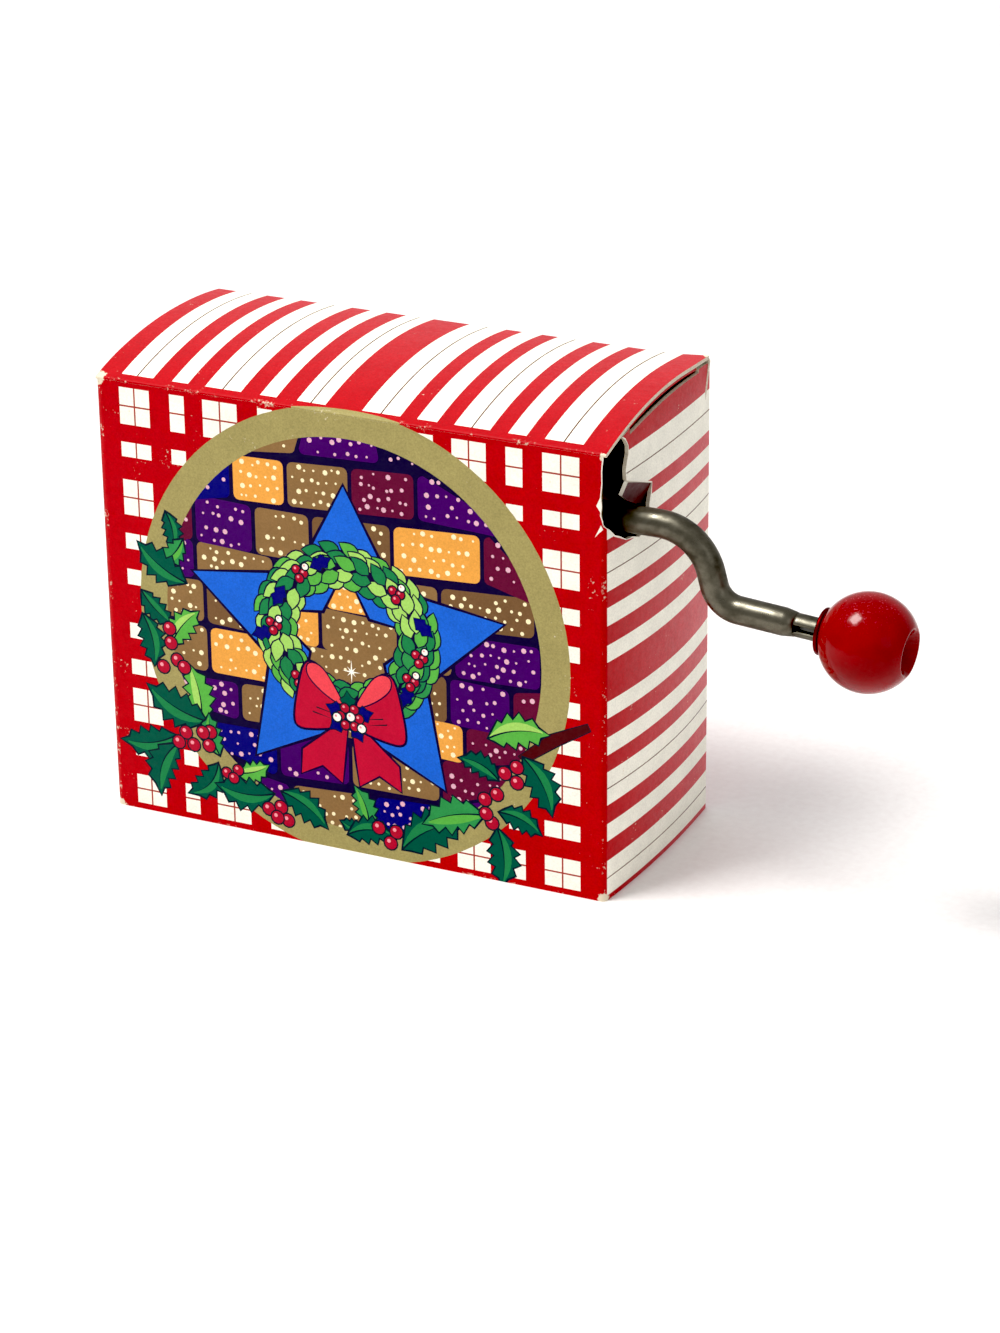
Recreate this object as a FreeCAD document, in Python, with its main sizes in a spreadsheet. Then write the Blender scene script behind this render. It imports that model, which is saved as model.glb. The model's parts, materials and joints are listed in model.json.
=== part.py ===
import FreeCAD, Part
import math
import os
import re
import Sketcher

# Hand-crank music box: a small movement with a pinned cylinder and a steel comb, taped inside a
# paperboard tuck carton, with a bent wire crank and a ball knob at the carton's right side.
#
# Frame: origin under the middle of the carton, +X towards the crank, +Y to the back, +Z up. Millimetres.

SIZES = {
    # carton
    "box_width": (50.0, "carton across the front, outside"),
    "box_depth": (22.6, "carton front to back, outside"),
    "front_height": (42.2, "floor to the lid's front fold"),
    "back_height": (44.1, "floor to the lid's back fold"),
    "board": (0.35, "paperboard thickness"),
    "side_bulge": (1.0, "side panels stand proud at mid height"),
    "base_bulge": (0.5, "side panels stand proud at the floor"),
    "top_bulge": (0.2, "side panels stand proud at the top"),
    "lid_crown": (1.3, "rise of the lid above the line between its folds"),
    "lid_gap": (0.3, "air between the lid and the panels that it closes on"),
    "fold_gap": (0.1, "air at a fold that turns"),
    "tuck_length": (6.0, "lid tuck flap, fold to free edge"),
    "tuck_slant": (14.0, "lean of the lid tuck flap into the carton, degrees"),
    "tuck_inset": (1.4, "tuck flaps stand in from the carton's sides"),
    "flap_length": (12.0, "dust flap, fold to free edge"),
    "flap_front": (4.8, "top dust flap stands back from the front"),
    "flap_rear": (3.1, "top dust flap stands in from the back"),
    "bottom_tuck": (5.6, "bottom tuck flap, fold to free edge"),
    "seam_width": (8.0, "glued seam flap"),
    # opening for the crank in the right panel
    "hole_width": (7.4, "crank hole, from the front face"),
    "hole_base": (33.2, "crank hole, lower edge above the floor"),
    "hole_height": (4.2, "crank hole, height under the slit"),
    "hole_tear": (0.3, "the torn lower edge falls by this much towards the back"),
    "hole_step": (0.7, "the hole is this much lower at its far edge"),
    "slot_width": (3.5, "slit from the hole up to the lid, from the front face"),
    "slot_flare": (0.9, "the torn slit is this much wider near its top"),
    "slot_neck": (2.9, "height of the slit's widest place above its foot"),
    "overcut": (5.0, "a cut's outline runs this far past the board"),
    # crank
    "wire_diameter": (2.5, "crank wire"),
    "shaft_setback": (4.0, "shaft centre behind the front face"),
    "shaft_height": (35.1, "shaft centre above the floor"),
    "arm_out": (7.2, "arm's corner beyond the carton's side"),
    "arm_drop": (6.65, "shaft line down to the grip's corner"),
    "arm_slant": (1.78, "the arm leans out by this much"),
    "arm_bend": (5.0, "bend radius, shaft to arm"),
    "grip_bend": (2.6, "bend radius, arm to grip"),
    "grip_tilt": (4.5, "droop of the grip, degrees"),
    "grip_length": (7.2, "grip's corner to the wire's shoulder"),
    "spigot_diameter": (2.1, "split end of the wire, which the knob turns on"),
    "split_width": (0.7, "slit in the wire's end"),
    "neck_length": (2.3, "bare split end between shoulder and knob"),
    "run_clearance": (0.05, "radial play of everything that turns on a shaft"),
    # knob
    "knob_radius": (4.38, "ball"),
    "eyelet_wall": (0.2, "eyelet pressed into the ball"),
    "eyelet_flange": (2.05, "eyelet flange radius"),
    "flange_thickness": (0.4, "eyelet flange"),
    "knob_inner_flat": (0.9, "flat towards the crank, as a share of the ball's radius"),
    "knob_outer_flat": (0.866, "flat at the free side, as a share of the ball's radius"),
    "sink_depth": (1.3, "countersink in the free side"),
    "sink_share": (0.4224, "countersink mouth, as a share of the ball's radius"),
    "barb_height": (0.25, "barb at the tip of the split end"),
    # bed plate
    "pad_thickness": (0.95, "adhesive foam pad behind the bed plate"),
    "plate_thickness": (1.5, "bed plate"),
    "plate_width": (45.0, "bed plate"),
    "plate_height": (35.0, "bed plate"),
    "plate_left": (-23.0, "bed plate's left edge"),
    "plate_base": (1.5, "bed plate's lower edge above the floor"),
    "pad_inset": (5.0, "the pad stands in from the plate's edges"),
    "mount_hole": (1.3, "radius of the four holes near the plate's corners"),
    "mount_inset": (3.0, "those holes, from the plate's edges"),
    "window_share": (0.7, "half the plate's window, as a share of the cylinder's radius"),
    # cylinder
    "cylinder_x": (6.0, "cylinder axis from the carton's middle"),
    "cylinder_modules": (13.0, "radius of the pinned cylinder, in worm wheel modules"),
    "cylinder_length": (18.6, "pinned cylinder"),
    "pin_height": (0.45, "pins stand out of the cylinder"),
    "pin_diameter": (0.36, "pins"),
    "pin_root": (0.3, "pins reach this far into the cylinder"),
    "tube_wall": (0.5, "cylinder tube"),
    "rear_gap": (1.1, "air between the cylinder and the bed plate"),
    "arbor_diameter": (3.0, "cylinder's arbor"),
    "cap_thickness": (1.2, "end caps of the cylinder tube"),
    "arbor_foot": (0.8, "arbor below the lower bracket"),
    "arbor_head": (1.2, "arbor above the worm wheel"),
    "clip_thickness": (0.5, "retaining clips"),
    "clip_rim": (1.3, "width of a clip's ring"),
    "clip_mouth": (0.9, "opening of a clip"),
    "clip_depth": (0.4, "groove of the arbor's clip"),
    "clip_gap": (0.2, "air between the worm wheel and its clip"),
    "bracket_thickness": (1.4, "all four brackets"),
    "bracket_wall": (2.5, "metal round the arbor in a bracket"),
    "end_play": (0.4, "air beside turning parts, along their shaft"),
    # worm drive
    "wheel_teeth": (24, "teeth on the worm wheel"),
    "worm_wall": (0.325, "worm sleeve under its thread"),
    "worm_length": (8.0, "worm"),
    "wheel_thickness": (2.0, "worm wheel"),
    "wheel_hub": (1.2, "hub under the worm wheel"),
    "hub_wall": (1.0, "hub, outside the arbor"),
    "flank_angle": (20.0, "slope of the worm's and the wheel's flanks, degrees"),
    "wheel_addendum": (0.8, "the wheel's teeth beyond the meshing line, in modules"),
    "thread_gap": (0.1, "the thread stands this much below its full height"),
    "mesh_play": (0.2, "play across the worm and wheel teeth"),
    "inner_bracket_x": (-3.0, "far side of the inner crank bracket"),
    "outer_bracket_x": (21.0, "near side of the outer crank bracket"),
    "bush_wall": (0.7, "bronze bushes of the crank shaft"),
    "bush_flange": (0.4, "thickness of a bush's flange"),
    "bush_rim": (0.6, "width of a bush's flange"),
    "shaft_wall": (1.0, "metal round a bush in its bracket"),
    "collar_wall": (1.0, "thrust collar on the crank shaft"),
    "collar_length": (1.2, "thrust collar, along the shaft"),
    "shaft_tail": (2.0, "shaft beyond the inner bracket"),
    # comb
    "tooth_count": (18, "teeth of the comb"),
    "tooth_pitch": (1.0, "one tooth to the next"),
    "tooth_width": (0.76, "one tooth"),
    "tooth_thickness": (0.5, "one tooth"),
    "tooth_length": (12.5, "one tooth, tip to root"),
    "comb_thickness": (1.6, "heel of the comb"),
    "comb_heel": (7.2, "heel of the comb, root to back edge"),
    "slant_low": (1.6, "the heel's slanted edge, behind the root at its lower end"),
    "slant_high": (1.2, "the heel's slanted edge, before the root at its upper end"),
    "tooth_root": (1.8, "teeth run this far into the heel"),
    "tip_taper": (1.2, "tapered end of a tooth"),
    "tip_width": (0.4, "tooth at its tip"),
    "tip_gap": (0.35, "air between comb tips and the circle of pin ends"),
    "screw_shank": (0.9, "comb screw shank radius"),
    "screw_head": (1.7, "comb screw head radius"),
    "head_height": (1.1, "comb screw head"),
    "driver_width": (0.5, "slot in a screw head"),
    "driver_depth": (0.5, "slot in a screw head"),
    "screw_play": (0.15, "air round a screw in the comb"),
    "screw_spacing": (12.0, "between the comb screws"),
    "foot_inset": (0.2, "the pedestal stands in from the heel's back edge"),
    "weight_count": (8, "lead weights under the comb's teeth"),
    "weight_pitch": (1.0, "one weight to the next"),
    "weight_far": (4.6, "weights reach back this far from the tips"),
    "weight_near": (1.6, "weights stop this far from the tips"),
    "weight_width": (0.6, "one weight"),
    "weight_drop": (1.2, "weights hang this far under their teeth"),
}

# Sizes that follow from the ones above.
DERIVED = {
    "inner_x": "box_width / 2 - board",
    "inner_y": "box_depth / 2 - board",
    "hinge_y": "board / 2 - box_depth / 2",
    "hinge_z": "front_height - board / 2",
    "lid_back": "inner_y - lid_gap",
    "lid_rise": "back_height - front_height",
    "lid_run": "lid_back - hinge_y",
    "lid_span": "sqrt(lid_rise ^ 2 + lid_run ^ 2)",
    "lid_radius": "(lid_span ^ 2 / 4 + lid_crown ^ 2) / (2 * lid_crown)",
    "crown_y": "(hinge_y + lid_back) / 2 + lid_rise / lid_span * (lid_radius - lid_crown)",
    "crown_z": "(front_height + back_height) / 2 - lid_run / lid_span * (lid_radius - lid_crown)",
    "flap_y_front": "flap_front - box_depth / 2",
    "flap_y_rear": "box_depth / 2 - flap_rear",
    "flap_drop": "board + lid_gap",
    "panel_drop": "flap_drop + board + fold_gap",
    "slot_base": "hole_base + hole_height + 0.5",
    "shaft_y": "shaft_setback - box_depth / 2",
    "wire_radius": "wire_diameter / 2",
    "arm_x": "box_width / 2 + arm_out",
    "grip_x": "arm_x + arm_slant",
    "grip_z": "shaft_height - arm_drop",
    "shaft_end_x": "inner_bracket_x - shaft_tail",
    "spigot_radius": "spigot_diameter / 2",
    "split_start": "grip_length + fold_gap",
    "flange_at": "grip_length + neck_length",
    "ball_at": "flange_at + flange_thickness + knob_inner_flat * knob_radius",
    "ball_end": "ball_at + knob_outer_flat * knob_radius",
    "sink_radius": "sink_share * knob_radius",
    "eyelet_bore": "spigot_radius + run_clearance",
    "eyelet_radius": "eyelet_bore + eyelet_wall",
    "barb_at": "ball_end - sink_depth * 0.6",
    "spigot_end": "ball_end - sink_depth * 0.2",
    "pad_front": "inner_y - pad_thickness",
    "plate_front": "pad_front - plate_thickness",
    "plate_right": "plate_left + plate_width",
    "plate_top": "plate_base + plate_height",
    "gear_room": "plate_front - shaft_y - wire_radius - worm_wall - rear_gap",
    "gear_module": "gear_room / (1.25 + wheel_teeth / 2 + cylinder_modules)",
    "worm_pitch_radius": "wire_radius + worm_wall + tooth_dedendum",
    "wheel_pitch_radius": "gear_module * wheel_teeth / 2",
    "cylinder_radius": "gear_module * cylinder_modules",
    "cylinder_y": "shaft_y + worm_pitch_radius + wheel_pitch_radius",
    "wheel_base": "shaft_height - wheel_thickness / 2",
    "wheel_top": "shaft_height + wheel_thickness / 2",
    "upper_bracket_top": "wheel_base - wheel_hub - fold_gap",
    "upper_bracket_base": "upper_bracket_top - bracket_thickness",
    "cylinder_top": "upper_bracket_base - end_play",
    "cylinder_base": "cylinder_top - cylinder_length",
    "lower_bracket_top": "cylinder_base - end_play",
    "lower_bracket_base": "lower_bracket_top - bracket_thickness",
    "arbor_radius": "arbor_diameter / 2",
    "arbor_base": "lower_bracket_base - arbor_foot",
    "arbor_top": "wheel_top + arbor_head",
    "bracket_nose": "arbor_radius + bracket_wall",
    "shaft_nose": "wire_radius + run_clearance + bush_wall + shaft_wall",
    "bush_bore": "wire_radius + run_clearance",
    "bush_radius": "bush_bore + bush_wall",
    "tooth_addendum": "gear_module",
    "tooth_dedendum": "gear_module * 1.25",
    "axial_pitch": "gear_module * 3.14159265",
    "flank_middle": "axial_pitch / 4 - mesh_play / 2",
    "flank_foot": "flank_middle + tooth_dedendum * tan(flank_angle)",
    "flank_crest": "flank_middle - tooth_addendum * tan(flank_angle)",
    "worm_tip": "worm_pitch_radius + tooth_addendum",
    "worm_root": "worm_pitch_radius - tooth_dedendum",
    "tip_x": "cylinder_x - cylinder_radius - pin_height - tip_gap",
    "root_x": "tip_x - tooth_length",
    "heel_x": "root_x - comb_heel",
    "comb_mid": "(cylinder_top + cylinder_base) / 2",
    "comb_run": "tooth_pitch * (tooth_count - 1)",
    "comb_front": "cylinder_y - comb_thickness / 2",
    "comb_rear": "cylinder_y + comb_thickness / 2",
    "screw_x": "heel_x + comb_heel * 0.45",
}

doc = FreeCAD.newDocument("music_box")


# ---- sizes ---------------------------------------------------------------------------------------

def make_sheet():
    """One row per driving size: its name, its number and what it is."""
    table = doc.addObject("Spreadsheet::Sheet", "Sizes")
    for row, (name, (number, note)) in enumerate(SIZES.items(), start=1):
        table.set("A%d" % row, name)
        table.set("B%d" % row, str(number))
        table.set("C%d" % row, note)
        table.setAlias("B%d" % row, name)
    doc.recompute()
    return table


sheet = make_sheet()


def expand(text):
    """A size formula written out until it names only cells of the sheet."""
    def swap(match):
        word = match.group(0)
        if word in DERIVED:
            return "(" + expand(DERIVED[word]) + ")"
        return "Sizes." + word if word in SIZES else word
    return re.sub(r"[a-z_]+", swap, str(text))


def value(text):
    """The number that a size formula gives now."""
    result = sheet.evalExpression(expand(text))
    return float(getattr(result, "Value", result))


def bind(item, **formulas):
    """Ties properties of an object to size formulas."""
    for name, text in formulas.items():
        item.setExpression(name.replace("__", "."), expand(text))


def under_lid(y, drop):
    """A point at depth y, a given drop under the lid's crowned upper face."""
    return (y, "crown_z + sqrt(lid_radius ^ 2 - (%s - crown_y) ^ 2) - %s" % (y, drop))


def on_grip(along, aside):
    """A point of the grip's own frame, along and square to its axis, as x and z."""
    return ("grip_x + (%s) * cos(grip_tilt) + (%s) * sin(grip_tilt)" % (along, aside),
            "grip_z - (%s) * sin(grip_tilt) + (%s) * cos(grip_tilt)" % (along, aside))


# ---- sketches and features -------------------------------------------------------------------------

def new_body(label):
    body = doc.addObject("PartDesign::Body", label)
    body.Label = label
    return body


def origin_item(body, role):
    return next(item for item in body.Origin.OriginFeatures if item.Role == role)


def new_sketch(body, plane, offset="0"):
    """An empty sketch on one of the body's own origin planes, moved along its normal."""
    sketch = body.newObject("Sketcher::SketchObject", body.Label + "_sketch")
    sketch.AttachmentSupport = [(origin_item(body, plane + "_Plane"), "")]
    sketch.MapMode = "FlatFace"
    bind(sketch, AttachmentOffset__Base__z=offset)
    return sketch


def pin_point(sketch, edge, end, point):
    """Fixes one end of an edge at a pair of size formulas."""
    for kind, text in zip(("DistanceX", "DistanceY"), point):
        index = sketch.addConstraint(Sketcher.Constraint(kind, -1, 1, edge, end, value(text)))
        sketch.setExpression("Constraints[%d]" % index, expand(text))


def add_line(sketch, start, end, construction=False):
    ends = [FreeCAD.Vector(value(p[0]), value(p[1]), 0) for p in (start, end)]
    return sketch.addGeometry(Part.LineSegment(*ends), construction)


def add_arc(sketch, start, end, radius, bulge):
    """An arc of a given radius between two points; bulge 1 is to the right of the way, -1 to the left."""
    a, b = [FreeCAD.Vector(value(p[0]), value(p[1]), 0) for p in (start, end)]
    size = value(radius)
    way = b - a
    left = FreeCAD.Vector(-way.y, way.x, 0).normalize()
    height = math.sqrt(max(size ** 2 - way.Length ** 2 / 4, 0))
    centre = (a + b) * 0.5 + left * height * bulge
    first, last = (a, b) if bulge > 0 else (b, a)
    angles = [math.atan2(p.y - centre.y, p.x - centre.x) for p in (first, last)]
    circle = Part.Circle(centre, FreeCAD.Vector(0, 0, 1), size)
    edge = sketch.addGeometry(Part.ArcOfCircle(circle, *angles), False)
    if way.Length > 1.999 * size:                  # a half circle is set by its two ends
        sketch.addConstraint(Sketcher.Constraint("Symmetric", edge, 1, edge, 2, edge, 3))
    else:
        index = sketch.addConstraint(Sketcher.Constraint("Radius", edge, size))
        sketch.setExpression("Constraints[%d]" % index, expand(radius))
    return edge


def outline(body, plane, points, offset="0"):
    """A closed outline. A point is (x, y), or (x, y, radius, bulge) where an arc leads to the next."""
    sketch = new_sketch(body, plane, offset)
    edges = []
    for number, point in enumerate(points):
        follow = points[(number + 1) % len(points)]
        if len(point) == 2:
            edges.append((add_line(sketch, point, follow), 1, 2))
        else:
            first, last = (1, 2) if point[3] > 0 else (2, 1)
            edges.append((add_arc(sketch, point, follow, point[2], point[3]), first, last))
    for number, (edge, first, last) in enumerate(edges):
        follow, follow_first, _ = edges[(number + 1) % len(edges)]
        sketch.addConstraint(Sketcher.Constraint("Coincident", edge, last, follow, follow_first))
        pin_point(sketch, edge, first, points[number][:2])
    return sketch


def rings(body, plane, circles, offset="0"):
    """Full circles, each (x, y, radius)."""
    sketch = new_sketch(body, plane, offset)
    for x, y, radius in circles:
        centre = FreeCAD.Vector(value(x), value(y), 0)
        edge = sketch.addGeometry(Part.Circle(centre, FreeCAD.Vector(0, 0, 1), value(radius)), False)
        pin_point(sketch, edge, 3, (x, y))
        index = sketch.addConstraint(Sketcher.Constraint("Radius", edge, value(radius)))
        sketch.setExpression("Constraints[%d]" % index, expand(radius))
    return sketch


def block(x0, x1, y0, y1):
    """The four corners of an upright rectangle."""
    return [(x0, y0), (x1, y0), (x1, y1), (x0, y1)]


def feature(body, kind, sketch, **settings):
    item = body.newObject("PartDesign::" + kind, body.Label + "_" + kind.lower())
    item.Profile = sketch
    for name, setting in settings.items():
        setattr(item, name, setting)
    body.Tip = item
    return item


def pad(body, sketch, length, side="One side"):
    item = feature(body, "Pad", sketch, SideType=side)
    bind(item, Length=length)
    return item


def cut_through(body, sketch):
    """Cuts the sketch's outline right through the body, both ways; it has to take something away."""
    doc.recompute()
    before = body.Shape.Volume
    item = feature(body, "Pocket", sketch, Type="ThroughAll", SideType="Symmetric")
    doc.recompute()
    if body.Shape.Volume >= before - 1e-6:
        raise RuntimeError("the cut in %s takes nothing away" % body.Label)
    return item


def revolve(body, sketch, axis):
    return feature(body, "Revolution", sketch, ReferenceAxis=axis, Angle=360.0)


def repeat_along(body, item, axis, count, length):
    pattern = body.newObject("PartDesign::LinearPattern", body.Label + "_row")
    pattern.Originals = [item]
    pattern.Direction = (origin_item(body, axis + "_Axis"), [""])
    bind(pattern, Occurrences=count, Length=length)
    body.Tip = pattern
    return pattern


def box(label, x, y, z, size):
    """A plain board or block, from its lowest corner and its three sizes."""
    item = doc.addObject("Part::Box", label)
    item.Label = label
    bind(item, Placement__Base__x=x, Placement__Base__y=y, Placement__Base__z=z,
         Length=size[0], Width=size[1], Height=size[2])
    return item


def grip_placement(body):
    """Puts a body that was drawn along X on to the grip's axis."""
    body.Placement = FreeCAD.Placement(FreeCAD.Vector(), FreeCAD.Rotation(FreeCAD.Vector(0, 1, 0), 1))
    bind(body, Placement__Base__x="grip_x", Placement__Base__y="shaft_y",
         Placement__Base__z="grip_z", Placement__Rotation__Angle="grip_tilt")


def turned_part(label, profile, place):
    """A turned piece: its profile is (along, radius) about X, and place puts the body."""
    body = new_body(label)
    sketch = outline(body, "XY", profile)
    revolve(body, sketch, (origin_item(body, "X_Axis"), [""]))
    place(body)
    return body


def on_shaft(body):
    bind(body, Placement__Base__y="shaft_y", Placement__Base__z="shaft_height")


def sleeve(bore, outside, start, end):
    """Profile of a plain ring."""
    return [(start, bore), (end, bore), (end, outside), (start, outside)]


# ---- carton ----------------------------------------------------------------------------------------

def side_wall(label, side, inset="0"):
    """A side panel that bows outwards: a loft of three bowed strips, cut off along the lid's crown.

    side is 1 for the right panel and -1 for the left; inset moves the wall inwards."""
    body = new_body(label)
    chord = "(2 * inner_y)"
    levels = (("0", "base_bulge"), ("front_height / 2", "side_bulge"), ("back_height", "top_bulge"))
    strips = []
    for level, bulge in levels:
        radius = "((%s ^ 2 / 4 + %s ^ 2) / (2 * %s))" % (chord, bulge, bulge)
        outer = "%d * (box_width / 2 - %s)" % (side, inset)
        inner = "%d * (box_width / 2 - board - %s)" % (side, inset)
        corners = [(outer, "-inner_y", radius, side), (outer, "inner_y"),
                   (inner, "inner_y", radius, -side), (inner, "-inner_y")]
        strips.append(outline(body, "XY", corners, level))
    loft = feature(body, "AdditiveLoft", strips[0])
    loft.Sections = strips[1:]
    above = "(back_height + overcut)"
    cut_through(body, outline(body, "YZ", [
        under_lid("-box_depth", "panel_drop") + ("lid_radius", -1), under_lid("box_depth", "panel_drop"),
        ("box_depth", above), ("-box_depth", above)]))
    return body


def carton_sleeve():
    """Four walls and the seam flap that closes them into a sleeve."""
    box("front_panel", "-box_width / 2", "-box_depth / 2", "0",
        ("box_width", "board", "front_height - board - fold_gap"))
    box("back_panel", "-box_width / 2", "inner_y", "0", ("box_width", "board", "back_height - lid_gap"))
    side_wall("left_panel", -1)
    right = side_wall("right_panel", 1)
    front = "-box_depth / 2 - overcut"
    top = "back_height + overcut"
    cut_through(right, outline(right, "YZ", [
        (front, "hole_base"), ("hole_width - box_depth / 2", "hole_base - hole_tear"),
        ("hole_width - box_depth / 2", "hole_base + hole_height - hole_step"),
        ("slot_width + slot_flare / 3 - box_depth / 2", "slot_base"),
        ("slot_width + slot_flare - box_depth / 2", "slot_base + slot_neck"),
        ("slot_width - box_depth / 2", top), (front, top)]))
    seam = side_wall("glue_seam_flap", -1, inset="board")
    edge = "inner_y - seam_width"
    cut_through(seam, outline(seam, "YZ", block("-box_depth", edge, "-overcut", top)))
    cut_through(seam, outline(seam, "YZ", block("-box_depth", "box_depth", "-overcut", "3 * board")))


def bottom_closure():
    """The bottom panel with its tuck flap behind the front panel, over two dust flaps."""
    box("bottom_panel", "-inner_x", "-inner_y", "0", ("2 * inner_x", "2 * inner_y", "board"))
    box("bottom_tuck_flap", "tuck_inset - inner_x", "fold_gap - inner_y", "board",
        ("2 * (inner_x - tuck_inset)", "board", "bottom_tuck"))
    depth = "2 * inner_y - board - 3 * fold_gap"
    front = "board + 2 * fold_gap - inner_y"
    box("bottom_dust_flap_left", "-inner_x", front, "board", ("flap_length", depth, "board"))
    box("bottom_dust_flap_right", "inner_x - flap_length", front, "board",
        ("flap_length", depth, "board"))


def lid():
    """The crowned lid, which turns on its front fold, its tuck flap and the two dust flaps under it."""
    body = new_body("lid_panel")
    sketch = outline(body, "YZ", [
        ("hinge_y", "front_height - board", "lid_radius", -1),
        ("lid_back", "back_height - board"),
        ("lid_back", "back_height", "lid_radius", 1),
        ("hinge_y", "front_height", "board / 2", 1)])
    pad(body, sketch, "box_width + 0.2", "Symmetric")

    tuck = new_body("lid_tuck_flap")
    low_y = "lid_back - tuck_length * sin(tuck_slant)"
    low_z = "back_height - board - tuck_length * cos(tuck_slant)"
    sketch = outline(tuck, "YZ", [
        ("lid_back", "back_height - board"), ("lid_back - board", "back_height - board"),
        (low_y + " - board", low_z), (low_y, low_z)])
    pad(tuck, sketch, "2 * (inner_x - tuck_inset)", "Symmetric")

    for label, side in (("top_dust_flap_left", -1), ("top_dust_flap_right", 1)):
        flap = new_body(label)
        fold = "box_width / 2 - board / 2"
        start = fold + " - flap_length" if side > 0 else "-(" + fold + ")"
        lower = "(flap_drop + board)"
        sketch = outline(flap, "YZ", [
            under_lid("flap_y_front", lower) + ("lid_radius", -1), under_lid("flap_y_rear", lower),
            under_lid("flap_y_rear", "flap_drop") + ("lid_radius", 1),
            under_lid("flap_y_front", "flap_drop")], start)
        pad(flap, sketch, "flap_length")


# ---- movement: what stands still -------------------------------------------------------------------

def bed_plate():
    """The plate that carries everything, with a window behind the cylinder, and its adhesive pad."""
    body = new_body("bed_plate")
    pad(body, outline(body, "XZ", block("plate_left", "plate_right", "plate_base", "plate_top"),
                      "-pad_front"), "plate_thickness")
    half = "cylinder_radius * window_share"
    window = block("cylinder_x - " + half, "cylinder_x + " + half, "lower_bracket_top",
                   "upper_bracket_base")
    cut_through(body, outline(body, "XZ", window))
    holes = [("screw_x", "comb_mid + screw_spacing / 2 * %d" % side, "screw_shank + run_clearance")
             for side in (-1, 1)]
    cut_through(body, rings(body, "XZ", holes))
    cut_through(body, rings(body, "XZ", [
        (x, z, "mount_hole") for x in ("plate_left + mount_inset", "plate_right - mount_inset")
        for z in ("plate_base + mount_inset", "plate_top - mount_inset")]))
    box("adhesive_pad", "plate_left + pad_inset", "pad_front", "plate_base + pad_inset",
        ("plate_width - 2 * pad_inset", "pad_thickness", "plate_height - 2 * pad_inset"))


def cylinder_bracket(label, base):
    """A flat lug that stands out of the bed plate with a bearing hole for the arbor at its nose."""
    body = new_body(label)
    nose = [("cylinder_x + bracket_nose", "plate_front"), ("cylinder_x - bracket_nose", "plate_front"),
            ("cylinder_x - bracket_nose", "cylinder_y", "bracket_nose", 1),
            ("cylinder_x + bracket_nose", "cylinder_y")]
    pad(body, outline(body, "XY", nose, base), "bracket_thickness")
    cut_through(body, rings(body, "XY", [("cylinder_x", "cylinder_y", "arbor_radius + run_clearance")]))


def crank_bracket(label, near):
    """An upright lug beside the worm, with a hole for the crank shaft's bush."""
    body = new_body(label)
    low, high = "shaft_height - shaft_nose", "shaft_height + shaft_nose"
    lug = [("plate_front", low), ("plate_front", "plate_top"),
           ("cylinder_y + cylinder_radius", "plate_top"), ("shaft_y + shaft_nose", high),
           ("shaft_y", high, "shaft_nose", 1), ("shaft_y", low)]
    pad(body, outline(body, "YZ", lug, near), "bracket_thickness")
    cut_through(body, rings(body, "YZ", [("shaft_y", "shaft_height", "bush_radius")]))


def brackets():
    cylinder_bracket("upper_cylinder_bracket", "upper_bracket_base")
    cylinder_bracket("lower_cylinder_bracket", "lower_bracket_base")
    crank_bracket("inner_crank_bracket", "inner_bracket_x")
    crank_bracket("outer_crank_bracket", "outer_bracket_x")
    for label, near in (("inner_crank_bush", "inner_bracket_x"), ("outer_crank_bush", "outer_bracket_x")):
        far = near + " + bracket_thickness"
        flange, rim = far + " + bush_flange", "bush_radius + bush_rim"
        turned_part(label, [(near, "bush_bore"), (flange, "bush_bore"), (flange, rim),
                            (far, rim), (far, "bush_radius"), (near, "bush_radius")], on_shaft)


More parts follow.
